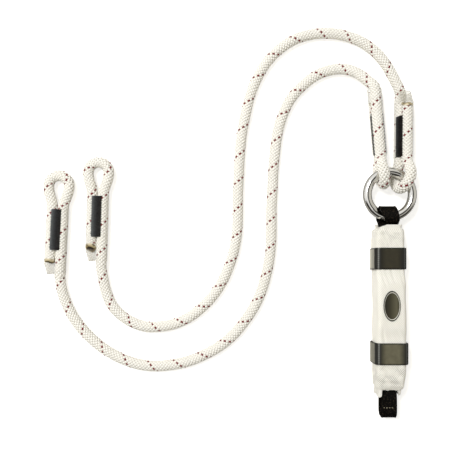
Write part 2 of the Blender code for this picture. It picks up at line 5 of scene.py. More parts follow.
import bpy
import numpy as np
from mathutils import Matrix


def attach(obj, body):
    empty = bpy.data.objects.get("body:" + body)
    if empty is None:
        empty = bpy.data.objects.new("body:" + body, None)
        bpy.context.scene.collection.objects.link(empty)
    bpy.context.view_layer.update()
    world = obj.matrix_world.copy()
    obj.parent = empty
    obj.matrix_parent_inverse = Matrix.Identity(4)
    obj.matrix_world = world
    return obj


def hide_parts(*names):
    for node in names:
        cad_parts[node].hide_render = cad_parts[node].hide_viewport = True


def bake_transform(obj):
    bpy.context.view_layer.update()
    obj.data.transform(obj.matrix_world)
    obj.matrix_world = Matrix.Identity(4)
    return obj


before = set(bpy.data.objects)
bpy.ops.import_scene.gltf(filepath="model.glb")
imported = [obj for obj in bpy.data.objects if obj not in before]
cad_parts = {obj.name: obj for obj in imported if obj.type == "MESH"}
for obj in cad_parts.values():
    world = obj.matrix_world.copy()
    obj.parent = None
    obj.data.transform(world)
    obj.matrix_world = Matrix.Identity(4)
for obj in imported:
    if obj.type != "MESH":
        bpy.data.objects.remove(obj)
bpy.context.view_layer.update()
scene = bpy.context.scene

# The camera looks straight down on the table, as in the photograph, from 0.64 m over a point between the
# legs, so the absorber pack at the right shows its left side.
CAMERA_HEIGHT, HALF_VIEW = 0.64, 0.23625
camera = bpy.data.objects.new("camera", bpy.data.cameras.new("camera"))
camera.location = (-0.1682, 0.0845, CAMERA_HEIGHT)
camera.data.sensor_width = camera.data.sensor_height = 36
camera.data.angle = 2 * math.atan(HALF_VIEW / CAMERA_HEIGHT)
camera.data.clip_start = 0.01
scene.collection.objects.link(camera)
scene.camera = camera


# The rope legs: 11 mm kernmantle rope, a core inside a braided cream sheath with one dark red tracer yarn.
# Each leg is one rope, from the tail under one sewn eye, along the table, to the tail beside the other.
class Nodes:
    """Short way to write a shader tree: each call makes a node and gives its output."""

    def __init__(self, tree):
        self.tree = tree

    def put(self, value, socket):
        """Links a value to a socket, or sets the socket to a number or a colour."""
        if isinstance(value, bpy.types.NodeSocket):
            self.tree.links.new(value, socket)
        else:
            socket.default_value = (*value, 1) if isinstance(value, tuple) else value

    def node(self, kind, inputs=(), **settings):
        """A node with its settings and what goes into it."""
        made = self.tree.nodes.new(kind)
        for key, value in settings.items():
            setattr(made, key, value)
        for key, value in dict(inputs).items():
            self.put(value, made.inputs[key])
        return made

    def feed(self, **sockets):
        """What goes into the tree's Principled shader."""
        shader = self.tree.nodes["Principled BSDF"]
        for label, value in sockets.items():
            self.put(value, shader.inputs[label.replace("_", " ")])

    def math(self, operation, *values):
        return self.node("ShaderNodeMath", enumerate(values), operation=operation).outputs[0]

    def plus(self, a, b):
        return self.math("ADD", a, b)

    def minus(self, a, b):
        return self.math("SUBTRACT", a, b)

    def times(self, a, *others):
        for b in others:
            a = self.math("MULTIPLY", a, b)
        return a

    def most(self, a, b):
        return self.math("MAXIMUM", a, b)

    def size(self, a):
        return self.math("ABSOLUTE", a)

    def uv(self):
        return self.node("ShaderNodeUVMap", uv_map="UVMap").outputs["UV"]

    def place(self):
        return self.node("ShaderNodeTexCoord").outputs["Object"]

    def axes(self, vector):
        return self.node("ShaderNodeSeparateXYZ", {0: vector}).outputs

    def attribute(self, label):
        return self.node("ShaderNodeAttribute", attribute_name=label).outputs["Fac"]

    def noise(self, vector, scale, detail, rough=0.5):
        inputs = {"Vector": vector, "Scale": scale, "Detail": detail, "Roughness": rough}
        return self.node("ShaderNodeTexNoise", inputs).outputs["Fac"]

    def twist(self, vector, distortion):
        """Slanting bands, as on twisted thread."""
        inputs = {"Vector": vector, "Scale": 1, "Distortion": distortion}
        return self.node("ShaderNodeTexWave", inputs, wave_type="BANDS", bands_direction="DIAGONAL").outputs["Fac"]

    def ramp(self, value, *stops):
        """Colour ramp through (place, colour) stops."""
        made = self.node("ShaderNodeValToRGB", {"Fac": value})
        bar = made.color_ramp
        for place, colour in stops[1:-1]:
            bar.elements.new(place)
        for element, (place, colour) in zip(bar.elements, stops):
            element.position = place
            element.color = (*colour, 1)
        return made.outputs["Color"]

    def span(self, value, low, high, out_low=0, out_high=1):
        inputs = {"Value": value, "From Min": low, "From Max": high, "To Min": out_low, "To Max": out_high}
        return self.node("ShaderNodeMapRange", inputs).outputs[0]

    def mix(self, factor, a, b):
        return self.node("ShaderNodeMix", {0: factor, 6: a, 7: b}, data_type="RGBA").outputs[2]

    def bump(self, height, strength, distance):
        inputs = {"Height": height, "Strength": strength, "Distance": distance}
        return self.node("ShaderNodeBump", inputs).outputs["Normal"]


def node_group(name, numbers, outputs):
    """A shader group with a Vector and some numbers going in and numbers coming out, and the maker, the given
    and the wanted sockets for what goes inside it."""
    tree = bpy.data.node_groups.new(name, "ShaderNodeTree")
    tree.interface.new_socket(name="Vector", in_out="INPUT", socket_type="NodeSocketVector")
    for label, value in numbers.items():
        tree.interface.new_socket(name=label, in_out="INPUT", socket_type="NodeSocketFloat").default_value = value
    for label in outputs:
        tree.interface.new_socket(name=label, in_out="OUTPUT", socket_type="NodeSocketFloat")
    maker = Nodes(tree)
    return tree, maker, maker.node("NodeGroupInput").outputs, maker.node("NodeGroupOutput").inputs


def finish(name, colour, roughness, **sockets):
    """A Principled material and the maker for its tree."""
    mat = bpy.data.materials.new(name)
    mat.use_nodes = True
    mat.diffuse_color = (*colour, 1)
    maker = Nodes(mat.node_tree)
    maker.feed(Base_Color=colour, Roughness=roughness, **sockets)
    return mat, maker


def toned(colour, *by):
    """A colour times one number, or times a number for each channel."""
    return tuple(float(c) for c in np.multiply(colour, by))


# Braid: eight carriers run round the rope to the right and eight to the left, one over, one under, each laying
# three yarns side by side. x counts the 16 columns round the rope and y the picks along it, and a = y - x/2
# and b = y + x/2 count the carriers of either hand.
COLUMNS = 16
PICK = 0.003475
ROPE_R = 0.0055


def float_height(x, y):
    """Height of the braid, 0 to 1: (cos(pi c) cos(pi l))^0.8 over each float, c across its carrier and l along."""
    a, b = y - x / 2, y + x / 2
    return np.maximum(np.cos(math.pi * (a - np.round(a))) * np.cos(math.pi * (b - np.round(b))), 0) ** 0.8


braid, g, given, gives = node_group("braid", {"Wander": 0.1, "Spread": 0}, ("Height", "Yarn", "Gap", "Tracer"))
place = g.axes(given["Vector"])
drift = g.times(g.minus(g.noise(given["Vector"], 0.9, 1), 0.5), given["Wander"])
half_x = g.times(place["X"], 0.5)
a = g.plus(g.minus(place["Y"], half_x), drift)
b = g.minus(g.plus(place["Y"], half_x), drift)
i, j = g.math("ROUND", a), g.math("ROUND", b)
fa, fb = g.minus(a, i), g.minus(b, j)
under = g.math("FLOORED_MODULO", g.plus(i, j), 2)
over = g.minus(1, under)
across = g.plus(g.times(fa, over), g.times(fb, under))
along = g.plus(g.times(fb, over), g.times(fa, under))
dome = g.times(g.math("COSINE", g.times(across, math.pi)), g.math("COSINE", g.times(along, math.pi)))
g.put(g.math("POWER", g.most(dome, 0), 0.8), gives["Height"])
lane = g.plus(g.times(across, 3), 1.5)
g.put(g.size(g.math("SINE", g.times(lane, math.pi))), gives["Yarn"])
near_a = g.minus(g.math("FLOORED_MODULO", a, 1), 0.5)
near_b = g.minus(g.math("FLOORED_MODULO", b, 1), 0.5)
rise = g.times(g.size(g.plus(near_a, near_b)), 1.15)
sweep = g.times(g.size(g.minus(near_b, near_a)), 0.5)
corner = g.minus(1, g.plus(rise, sweep))
uneven = g.times(g.minus(g.noise(given["Vector"], 1.7, 1), 0.5), 0.35)
near = g.minus(g.plus(0.7, uneven), g.times(given["Spread"], 0.14))
g.put(g.span(corner, near, g.plus(near, 0.2)), gives["Gap"])
middle = g.span(g.size(across), 0.31, 0.4, 1, 0)
eighth = g.math("LESS_THAN", g.math("FLOORED_MODULO", i, 8), 0.5)
g.put(g.times(middle, eighth, over), gives["Tracer"])

CREAM, GAP_SHADE, TRACER = (0.965, 0.94, 0.875), (0.72, 0.66, 0.51), (0.18, 0.003, 0.006)
sheath, g = finish("rope_sheath_braid", CREAM, 0.86, Sheen_Weight=0.2, Sheen_Roughness=0.5)
uv, spread = g.uv(), g.attribute("spread")
made = g.node("ShaderNodeGroup", {"Vector": uv, "Spread": spread}, node_tree=braid)
height, yarn, gap, tracer = (made.outputs[label] for label in ("Height", "Yarn", "Gap", "Tracer"))
# Painted shade: the dips between floats, the gaps at their corners (deeper where a bend opens them) and the lines
# between yarns are darkened in the colour. The noise below gives uneven tone, and the tracer is dyed.
colour = g.mix(g.span(height, 0, 0.45, 0.22, 0), CREAM, GAP_SHADE)
colour = g.mix(gap, colour, g.mix(g.span(spread, -0.3, 0.8), toned(GAP_SHADE, 0.72), toned(GAP_SHADE, 0.45)))
colour = g.mix(g.span(yarn, 0, 0.45, 0.22, 0), colour, toned(CREAM, 0.8))
colour = g.mix(g.span(g.noise(uv, 0.35, 3), 0.35, 0.75, 0, 0.35), colour, toned(CREAM, 0.96, 0.94, 0.88))
colour = g.mix(g.times(tracer, g.span(height, 0.02, 0.12)), colour, TRACER)
g.feed(
    Base_Color=colour, Normal=g.bump(g.plus(height, g.times(yarn, 0.22)), 0.65, 0.0008),
    Roughness=g.span(height, 0, 1, 0.95, 0.8),
)

STRANDS = 0.0113  # between the middles of a splice's two strands
SEWN_LEN, TAIL_LEN, SEAL_LEN, EYE_REACH = 0.043, 0.0098, 0.003, 0.0564
SLEEVE_PAST = 0.012


def flat(v, n):
    """v without its part along the unit vector n, made a unit vector."""
    v = v - np.dot(v, n) * n
    return v / np.linalg.norm(v)


def bridge(a, ta, b, tb):
    """Four points inside a cubic from a, leaving along ta, to b, arriving along tb."""
    h = 0.4 * np.linalg.norm(b - a)
    t = np.linspace(0, 1, 6)[1:-1, None]
    u = 1 - t
    return u**3 * a + 3 * u**2 * t * (a + h * ta) + 3 * u * t**2 * (b - h * tb) + t**3 * b


def eye_line(hub, axis, wrap, start, along, side):
    """Centre line of a sewn eye: up the tail strand, round the bight, back down the standing strand."""
    bight = -flat(along, axis)
    across = flat(flat(side, axis), bight)
    tail, standing = start + side * STRANDS / 2, start - side * STRANDS / 2
    arc = np.radians(np.linspace(90, -90, 10))
    loop = hub + wrap * (np.outer(np.cos(arc), bight) + np.outer(np.sin(arc), across))
    straight = np.linspace(1, 0, 5)[:, None]
    return np.vstack([
        tail + straight * along * (SEWN_LEN + TAIL_LEN),
        bridge(tail, -along, loop[0], bight),
        loop,
        bridge(loop[-1], -bight, standing, along),
        standing + straight[::-1] * along * EYE_REACH,
    ])


# name: hub, axis and radius of the bight, start and direction of the splice, side of its tail strand
EYES = {
    "left_ring": (
        (-0.008616, 0.137025, 0.017928), (0.975044, 0.22201, 0), 0.010802,
        (-0.009908, 0.155981, 0.016728), (-0.067821, 0.995379, -0.067972), (0.134269, -0.058403, -0.989222),
    ),
    "right_ring": (
        (0.013519, 0.134307, 0.017928), (0.923929, -0.252981, -0.286978), 0.012869,
        (0.014051, 0.1533, 0.016328), (0.027936, 0.997318, -0.067653), (0.408717, 0.050368, 0.91127),
    ),
    "left_far": (
        (-0.3406, 0.1252, 0.0071), (0, 0, 1), 0.0106,
        (-0.341812, 0.101231, 0.0071), (-0.050501, -0.998724, 0), (-0.998724, 0.050501, 0),
    ),
    "right_far": (
        (-0.2995, 0.139, 0.0071), (0, 0, 1), 0.0106,
        (-0.30022, 0.115011, 0.0071), (-0.030001, -0.99955, 0), (-0.99955, 0.030001, 0),
    ),
}
EYES = {eye: [np.array(v) for v in facts] for eye, facts in EYES.items()}


def splice_axes(eye):
    """Start of an eye's splice and its directions: along it, to the tail strand's side, and out of its face."""
    start, along, side = EYES[eye][3:]
    return start, along, side, np.cross(along, side)


def placed(eye, s, u, w):
    """Points s along an eye's splice, u to its tail strand's side and w out of its face."""
    start, along, side, face = splice_axes(eye)
    return start + s[..., None] * along + u[..., None] * side + w[..., None] * face


# Each free rope's way in mm: x, y and, where it isn't lying on the table, z
LEFT_ROUTE = [
    (-22, 233, 14), (-31, 241, 10.5), (-43, 246, 7.5), (-57, 246, 5.8), (-72, 241), (-87, 230), (-99, 217),
    (-107, 202), (-113, 183), (-116, 163), (-118, 142), (-119, 121), (-120, 100), (-120, 79), (-121, 59),
    (-124, 39), (-129, 20), (-136, 3), (-146, -13), (-158, -28), (-173, -41), (-189, -50), (-206, -57), (-225, -61),
    (-245, -62), (-263, -59), (-283, -51), (-300, -40), (-314, -27), (-325, -13), (-333, 2), (-338, 17, 5.7),
    (-340, 32, 6.3),
]
RIGHT_ROUTE = [
    (7, 238, 5.6), (-1, 252), (-12, 265), (-26, 275), (-41, 281), (-59, 284), (-78, 283), (-95, 278), (-111, 268),
    (-124, 255), (-134, 239), (-142, 220), (-147, 199), (-151, 178), (-153, 157), (-154, 136), (-155, 116),
    (-155, 95), (-156, 75), (-159, 58), (-164, 42), (-171, 26), (-180, 12), (-191, 0), (-205, -11), (-220, -18),
    (-236, -21), (-251, -21), (-266, -16), (-279, -7), (-287, 3), (-292, 15), (-295, 28, 5.7), (-297, 41, 6.2),
]

FINE = 5  # mesh steps in a column and in a pick
RAISED, RELIEF = 0.00028, 0.00075  # top of a float over the rope's radius, and depth of the dips
CUT_SLOPE = {"left_ring": 0.15, "right_ring": 0.2, "left_far": 0.25, "right_far": 0.62}  # of each cut tail end
CUT_LEN = 0.012
BLOCK_HALF = 0.0056


def crown(u):
    """Half thickness of a sewn block at u half widths from its middle, R - 0.25 + 0.65 (1 - u^2) mm."""
    return ROPE_R - 0.00025 + 0.00065 * (1 - u**2)


def spokes(a, normal, binormal):
    """Outward directions cos a N + sin a B at each angle a of each section."""
    return np.cos(a)[None, :, None] * normal[:, None] + np.sin(a)[None, :, None] * binormal[:, None]


def pairs(u, v):
    """A grid of UV places from u and v, either of which may be one row or one column."""
    return np.stack(np.broadcast_arrays(u, v), axis=-1)


def surface(grid, uv, joined=False):
    """Points, faces and their corners' UV over the grid P[i, j]: j goes once round a section, i goes along. uv
    has one more column, for the seam. joined closes i on itself, and else both end sections are filled to a
    middle point."""
    k, n = grid.shape[:2]
    i, j = (v.ravel() for v in np.meshgrid(np.arange(k if joined else k - 1), np.arange(n), indexing="ij"))
    ii, jj = (i + 1) % k, (j + 1) % n
    faces = [np.stack([i * n + j, i * n + jj, ii * n + jj, ii * n + j], axis=1)]
    corners = [np.stack([uv[i, j], uv[i, j + 1], uv[i + 1, j + 1], uv[i + 1, j]], axis=1)]
    points = grid.reshape(-1, 3)
    if not joined:
        points = np.vstack([points, grid[0].mean(axis=0), grid[-1].mean(axis=0)])
        j = np.arange(n)
        for middle, end, way in ((k * n, 0, -1), (k * n + 1, k - 1, 1)):
            rim, rim_uv = [end * n + j, end * n + (j + 1) % n][::way], [uv[end, j], uv[end, j + 1]][::way]
            faces.append(np.stack([np.full(n, middle), *rim], axis=1))
            corners.append(np.stack([sum(rim_uv) / 2, *rim_uv], axis=1))
    return points, faces, corners


def skin(*surfaces):
    """One smooth mesh of some surfaces."""
    faces, base = [], 0
    for points, parts, _ in surfaces:
        faces += [face for part in parts for face in (part + base).tolist()]
        base += len(points)
    mesh = bpy.data.meshes.new("skin")
    mesh.from_pydata(np.vstack([points for points, _, _ in surfaces]).tolist(), [], faces)
    uv = np.concatenate([part.ravel() for _, _, corners in surfaces for part in corners])
    mesh.uv_layers.new(name="UVMap").data.foreach_set("uv", uv.astype(np.float32))
    mesh.shade_smooth()
    return mesh


def mark(mesh, label, values):
    """Stores one number for each vertex, for the material to read."""
    mesh.attributes.new(label, "FLOAT", "POINT").data.foreach_set("value", values.astype(np.float32))


def rope_tube(line, normal, binormal, run, eye, outward):
    """Tube c(s) + r (cos a N + sin a B), a = 2 pi x / 16, with r = R + raised - relief (1 - float_height(x, y)).
    The cut end's last 12 mm lean by the slope, and the sewn block presses the strands in to its crown.
    Attribute spread: how far a bend opens the braid, -r . c'' over 0.4."""
    sides = COLUMNS * FINE
    x = (np.arange(sides) + 0.5) / FINE
    y = run / PICK
    r = ROPE_R + RAISED - RELIEF * (1 - float_height(x[None, :], y[:, None]))
    out = spokes(2 * math.pi * x / COLUMNS, normal, binormal)
    tangent = np.cross(normal, binormal)
    soft = np.ones(15) / 15
    bend = np.gradient(tangent, run, axis=0)
    bend = np.stack([np.convolve(np.pad(bend[:, k], 7, mode="edge"), soft, "valid") for k in range(3)], axis=1)
    spread = np.clip(-ROPE_R * np.einsum("ijk,ik->ij", out, bend) / 0.4, -1, 1)
    offset = r[..., None] * out
    grid = line[:, None] + offset
    if eye:
        far = run[-1] - run if outward > 0 else run - run[0]
        lean = CUT_SLOPE[eye] * np.clip(1 - far / CUT_LEN, 0, 1)
        grid = line[:, None] + (offset - (lean[:, None] * offset[..., 2])[..., None] * tangent[:, None] * outward)
        start, along, side, face = splice_axes(eye)
        s, u, w = ((grid - start) @ axis for axis in (along, side, face))
        inside = np.clip((BLOCK_HALF + 0.0006 - np.abs(u)) / 0.0006, 0, 1)
        inside = inside * np.clip(np.minimum(s, SEWN_LEN - s) / 0.0012 + 0.3, 0, 1)
        limit = crown(np.clip(u / BLOCK_HALF, -1, 1)) - 0.0001
        grid = grid - (np.sign(w) * np.maximum(np.abs(w) - limit, 0) * inside)[..., None] * face
    mesh = skin(surface(grid, pairs((np.arange(sides + 1) + 0.5) / FINE, y[:, None])))
    mark(mesh, "spread", np.concatenate([spread.ravel(), [0, 0]]))
    return mesh


def smooth_line(points, before, after):
    """Fine points of a centripetal Catmull-Rom curve through points, in line with before and after."""
    p = np.vstack([before, points, after])
    fine = []
    for i in range(1, len(p) - 2):
        q = p[i - 1 : i + 3]
        t = np.concatenate([[0], np.cumsum(np.sqrt(np.linalg.norm(np.diff(q, axis=0), axis=1)))])
        s = np.linspace(t[1], t[2], 40, endpoint=False)[:, None]
        a = [((t[j + 1] - s) * q[j] + (s - t[j]) * q[j + 1]) / (t[j + 1] - t[j]) for j in range(3)]
        b = [((t[j + 2] - s) * a[j] + (s - t[j]) * a[j + 1]) / (t[j + 2] - t[j]) for j in range(2)]
        fine.append(((t[2] - s) * b[0] + (s - t[1]) * b[1]) / (t[2] - t[1]))
    return np.vstack(fine + [p[-2:-1]])


def run_of(line):
    """Length from a line's first point to each of its points."""
    return np.concatenate([[0], np.cumsum(np.linalg.norm(np.diff(line, axis=0), axis=1))])


def evenly(line, step):
    """Points every step along a line."""
    run = run_of(line)
    at = np.linspace(0, run[-1], round(run[-1] / step) + 1)
    return np.column_stack([np.interp(at, run, line[:, k]) for k in range(3)])


def carried_axes(line, up):
    """Normal N and binormal B = T x N at each point of a line, N carried along with no twist from up."""
    tangent = np.gradient(line, axis=0)
    tangent /= np.linalg.norm(tangent, axis=1)[:, None]
    normal, n = [], np.asarray(up, float)
    for t in tangent:
        n = flat(n, t)
        normal.append(n)
    normal = np.array(normal)
    return normal, np.cross(tangent, normal)


def show(name, mesh, material, body, node):
    """Puts a finished mesh in the scene as a piece that rides on a body and stands for a solid."""
    mesh.name = name
    mesh.materials.append(material)
    obj = bpy.data.objects.new(name, mesh)
    scene.collection.objects.link(obj)
    if body:
        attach(obj, body)
    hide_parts(node)
    return obj


# far_pieces gathers each leg's far-eye pieces, and cords each free rope piece with a coarse copy of its line, its
# length and its start.
far_pieces, cords = {}, []
for leg, route in (("left", LEFT_ROUTE), ("right", RIGHT_ROUTE)):
    ring_eye, far_eye = EYES[leg + "_ring"], EYES[leg + "_far"]
    near, far = eye_line(*ring_eye), eye_line(*far_eye)[::-1]
    a, b = near[-1], far[0]
    lead = SLEEVE_PAST + 0.001
    way = np.array([(*p, ROPE_R * 1000)[:3] for p in route]) / 1000
    points = np.vstack([near, a + ring_eye[4] * lead, way, b + far_eye[4] * lead, far])
    line = evenly(smooth_line(points, near[0] - (near[1] - near[0]), far[-1] + (far[-1] - far[-2])), PICK / FINE)
    run = run_of(line)
    normal, binormal = carried_axes(line, (0, 0, 1))
    i0, i1 = (int(np.argmin(np.linalg.norm(line - p, axis=1))) for p in (a, b))
    for part, cut, eye, outward, body in (
        ("ring_eye", slice(0, i0 + 1), leg + "_ring", -1, leg + "_ring_splice"),
        ("rope", slice(i0, i1 + 1), None, 1, None),
        ("far_eye", slice(i1, None), leg + "_far", 1, "rope_legs"),
    ):
        name = f"{leg}_{part}"
        mesh = rope_tube(*(v[cut] for v in (line, normal, binormal, run)), eye, outward)
        obj = show(name + "_sheath", mesh, sheath, body, name)
        if part == "rope":
            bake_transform(obj)
            cords.append((leg, obj, line[cut][::10], float(run[cut][-1] - run[cut][0]), a))
    far_pieces[leg] = [obj]


def on_each_eye(piece, make, material, node):
    """One piece for each eye: a ring eye's rides on its splice, a far eye's on the rope legs, and is also listed in
    far_pieces under its leg.
    """
    for eye in EYES:
        far = "far" in eye
        body = "rope_legs" if far else eye + "_splice"
        obj = show(f"{eye}_{piece}", make(eye), material, body, f"{eye}_{node}")
        if far:
            far_pieces[eye.split("_")[0]].append(obj)


# Melted tail ends: the cut rope is run over a flame, so the sheath shrinks to a tan glassy rim round the
# darker, sunken ends of the core yarns.
melt, g = finish("melted_end_tan", (0.4, 0.25, 0.12), 0.5)
depth, where = g.axes(g.uv())["Y"], g.place()
spots = g.noise(where, 900, 3)
colour = g.ramp(
    g.plus(depth, g.times(g.minus(spots, 0.5), 0.22)),
    (0, (0.78, 0.71, 0.54)), (0.3, (0.47, 0.38, 0.2)), (0.55, (0.25, 0.18, 0.08)),
    (0.72, (0.06, 0.03, 0.012)), (1, (0.025, 0.014, 0.008)),
)
charred = g.span(g.noise(where, 190, 2), 0.5, 0.66, 0, 0.85)
colour = g.mix(charred, colour, (0.085, 0.062, 0.025))
g.feed(Base_Color=colour, Normal=g.bump(spots, 0.6, 0.0005), Roughness=g.span(spots, 0.3, 0.7, 0.35, 0.7))

rng = np.random.default_rng(7)


def round_section(count):
    """Angles of count points once round a section."""
    return np.linspace(0, 2 * math.pi, count, endpoint=False)


def melted_end(eye):
    """Turned profile (s, r): a collar that rounds over its rim and sinks inside, with a lumpy radius
    r (1 + 0.05 sum of low sine waves), leaning by the slope like the tail under it."""
    start, along, side, face = splice_axes(eye)
    s = np.array([0, 0.25, 0.6, 0.85, 1, 1.05, 0.98, 0.8, 0.62, 0.55, 0.55]) * SEAL_LEN
    r = np.array([0.985, 1, 1, 0.97, 0.9, 0.8, 0.72, 0.66, 0.55, 0.3, 0.05]) * ROPE_R
    a = round_section(36)
    wave = sum(rng.normal(0, 0.02) * np.cos(k * a + rng.uniform(0, 6)) for k in range(2, 9))
    fade = np.clip(np.arange(len(s)) / 3, 0, 1)[:, None]
    radius = r[:, None] * (1 + wave[None] * fade)
    rise = s[:, None] + 0.0004 * fade * np.cos(3 * a + 1)[None] + 0.0002 * fade * rng.normal(0, 1, (len(s), 36)) * 0.4
    at = start + side * STRANDS / 2 + along * (SEWN_LEN + TAIL_LEN)
    out = np.cos(a)[:, None] * side + np.sin(a)[:, None] * face
    rise = rise - CUT_SLOPE[eye] * radius * out[None, :, 2]
    grid = at + rise[..., None] * along + radius[..., None] * out[None]
    return skin(surface(grid, pairs(np.linspace(0, 1, 37), np.linspace(0, 1, len(s))[:, None])))


on_each_eye("melted_end", melted_end, melt, "tail_end")


# Sewn blocks: heavy black bonded thread in machine zigzag, right through both strands, so tight that it
# fills the valley between them and draws it flat.
thread_black, g = finish("thread_black", (0.006, 0.0065, 0.008), 0.38, Specular_IOR_Level=0.3)
uv = g.uv()
# Painted sheen: the attribute read here and the ramp make the thread grey toward the lamp's -x side and near black on
# the other; the noise adds uneven tone.
painted_shine = g.plus(g.attribute("painted_shine"), g.span(g.noise(uv, 0.8, 2), 0, 1, -0.22, 0.22))
colour = g.ramp(
    painted_shine, (0, (0.008, 0.005, 0.004)), (0.4, (0.01, 0.01, 0.011)), (0.65, (0.04, 0.042, 0.044)),
    (1, (0.12, 0.13, 0.13)),
)
g.feed(Normal=g.bump(g.twist(uv, 0.4), 0.5, 0.0002), Base_Color=colour)
BLOCK_THREAD = 0.00034  # radius


def thread(line, radius, up, sides):
    """Tube of one thread along a line, with its UV in thread widths."""
    normal, binormal = carried_axes(line, up)
    grid = line[:, None] + radius * spokes(round_section(sides), normal, binormal)
    return surface(grid, pairs(np.linspace(0, 3, sides + 1), (run_of(line) / (2 * radius))[:, None]))


def sewn_block(eye):
    """Two rows of zigzag thread on both faces over a plate w = crown(u). The thread runs from edge to edge in
    turn, and dives into the rope at each turn. The attribute it marks is 1 at the edge toward -x, on the lamp's
    side, where a painted sheen makes the thread grey, and 0 at the other."""
    start, _, side, face = splice_axes(eye)
    plate_half, pitch, margin = 0.005, 0.00118, 0.0004
    s = np.linspace(margin, SEWN_LEN - margin, 120)
    u = np.concatenate([np.linspace(-1, 1, 13), np.linspace(1, -1, 13)])
    w = np.where(np.arange(26) < 13, 1, -1) * crown(u * 0.9)
    grid = placed(eye, s[:, None], u * plate_half, w)
    uv = pairs(np.linspace(0, 20, 27), s[:, None] / 0.0005)
    parts = [surface(grid[:, ::-1], uv[:, ::-1])]
    count = int((SEWN_LEN - 2 * margin) / pitch) - 1
    turns = np.arange(count + 1)
    for way in (1, -1):
        for width, lift, lag in ((0.006, 0.00014, 0), (0.0052, 0.00028, 0.5)):
            at = margin + (turns + lag) * pitch + rng.normal(0, 0.00007, count + 1)
            ends = np.where(turns % 2, 1, -1) * (width + rng.normal(0, 0.00022, count + 1))
            t = np.linspace(0, count, count * 10 + 1)
            su, uu = np.interp(t, turns, at), np.interp(t, turns, ends)
            dive = np.clip((np.abs(uu) - width + 0.0009) / 0.0009, 0, 1.3)
            high = crown(np.clip(uu / BLOCK_HALF, -1, 1)) + lift - 0.0003 * dive**2
            parts.append(thread(placed(eye, su, uu, way * high), BLOCK_THREAD, face, 6))
    mesh = skin(*parts)
    u = (np.vstack([points for points, _, _ in parts]) - start) @ side * -np.sign(side[0])
    mark(mesh, "painted_shine", np.clip(0.5 + u / 0.0108, 0, 1))
    return mesh


on_each_eye("thread", sewn_block, thread_black, "stitching")

# Clear sleeves: shrink tube over each sewn block and the tail's end. It hugs both strands, necks in past the
# cut end, and shows mainly by its gloss and a faint milky edge.
film, g = finish("sleeve_clear", (0.5, 0.47, 0.38), 0.16, Coat_Weight=0.3, Coat_Roughness=0.08)
edge = g.node("ShaderNodeLayerWeight", {"Blend": 0.35}).outputs["Facing"]
at = g.axes(g.uv())
CUT_END = SEWN_LEN + TAIL_LEN + SEAL_LEN
SLEEVE_IN, SLEEVE_OUT, SLEEVE_END = 0.0066, 0.0071, CUT_END + SLEEVE_PAST
past = g.span(at["Y"], CUT_END - 0.001, CUT_END + 0.001, 0, 0.26)
lip = g.span(at["Y"], SLEEVE_END - 0.0014, SLEEVE_END - 0.0006, 0, 0.5)
empty = g.span(g.size(g.minus(at["X"], 0.5)), 0.235, 0.265)
haze = g.times(g.most(past, lip), empty)
alpha = g.most(haze, g.span(edge, 0.35, 1, 0.003, 0.34))
g.feed(Alpha=alpha, Normal=g.bump(g.noise(g.place(), 260, 2), 0.25, 0.0006))


def shrink_sleeve(eye):
    """Hull of two circles across (u, w): u = c + r cos a by sides, w = r sin a. Past the cut end c draws in on
    the tail's side, and r is rippled along s. An outer and an inner wall meet at both mouths."""
    s = np.concatenate([np.linspace(-0.0005, CUT_END, 70), np.linspace(CUT_END, SLEEVE_END, 22)[1:]])
    a = round_section(48) + math.pi / 48
    half = STRANDS / 2 - 0.0008
    draw = 0.0042 * np.clip((s - CUT_END) / SLEEVE_PAST, 0, 1) ** 0.9
    middle = np.where(np.cos(a)[None] > 0, half - draw[:, None], -half)
    ripple = 0.00008 * np.sin(s[:, None] * 900 + 2 * np.sin(a)[None])
    ripple = ripple * np.clip((s[:, None] - 0.043) / 0.004, 0.15, 1)
    walls = []
    for radius in (SLEEVE_OUT, SLEEVE_IN):
        r = radius + ripple
        walls.append(placed(eye, s[:, None], middle + r * np.cos(a), r * np.sin(a)))
    grid = np.concatenate([walls[0], walls[1][::-1]])
    uv = pairs(np.linspace(0, 1, 49), np.concatenate([s, s[::-1], s[:1]])[:, None])
    return skin(surface(grid, uv, joined=True))


on_each_eye("film", shrink_sleeve, film, "sleeve")


# The ring: 9 mm steel rod bent round and butt-welded, then polished. The legs' eyes and the absorber's upper
# loop are threaded on it before it is welded shut.
RING_C = np.array((0, 0.1157, 0.017928))
RING_R, RING_WIRE = 0.023, 0.009
WELD_AT = 2 * math.pi * 27 / 44
polished, g = finish("ring_polished_steel", (0.8, 0.79, 0.76), 0.09, Metallic=1)
where = g.place()
worn, fine = g.noise(where, 55, 4, 0.6), g.noise(where, 2400, 2)
g.feed(
    Roughness=g.plus(g.span(worn, 0.35, 0.7, 0.04, 0.16), g.times(fine, 0.04)),
    Base_Color=g.mix(worn, (0.74, 0.73, 0.7), (0.86, 0.85, 0.82)), Normal=g.bump(fine, 0.05, 0.0001),
)


def ring_skin():
    """Torus C + (R + r cos b) e(a) + r sin b z, with r raised by a bell round the weld's angle."""
    a = np.linspace(0, 2 * math.pi, 241)
    b = round_section(48)
    off = (a - WELD_AT) * RING_R
    r = RING_WIRE / 2 + 0.0002 * np.exp(-((off / 0.0016) ** 2)) - 0.00012 * np.exp(-((off / 0.00035) ** 2))
    out = np.stack([np.cos(a), np.sin(a), 0 * a], axis=1)
    wide, high = (RING_R + r[:, None] * np.cos(b))[..., None], (r[:, None] * np.sin(b))[..., None]
    grid = RING_C + wide * out[:, None] + high * np.array((0, 0, 1))
    uv = pairs(np.linspace(0, 28, 49), (a * RING_R * 1000)[:, None])
    return skin(surface(grid[:-1, ::-1], uv[:, ::-1], joined=True))


show("ring_rod", ring_skin(), polished, "ring", "steel_ring")


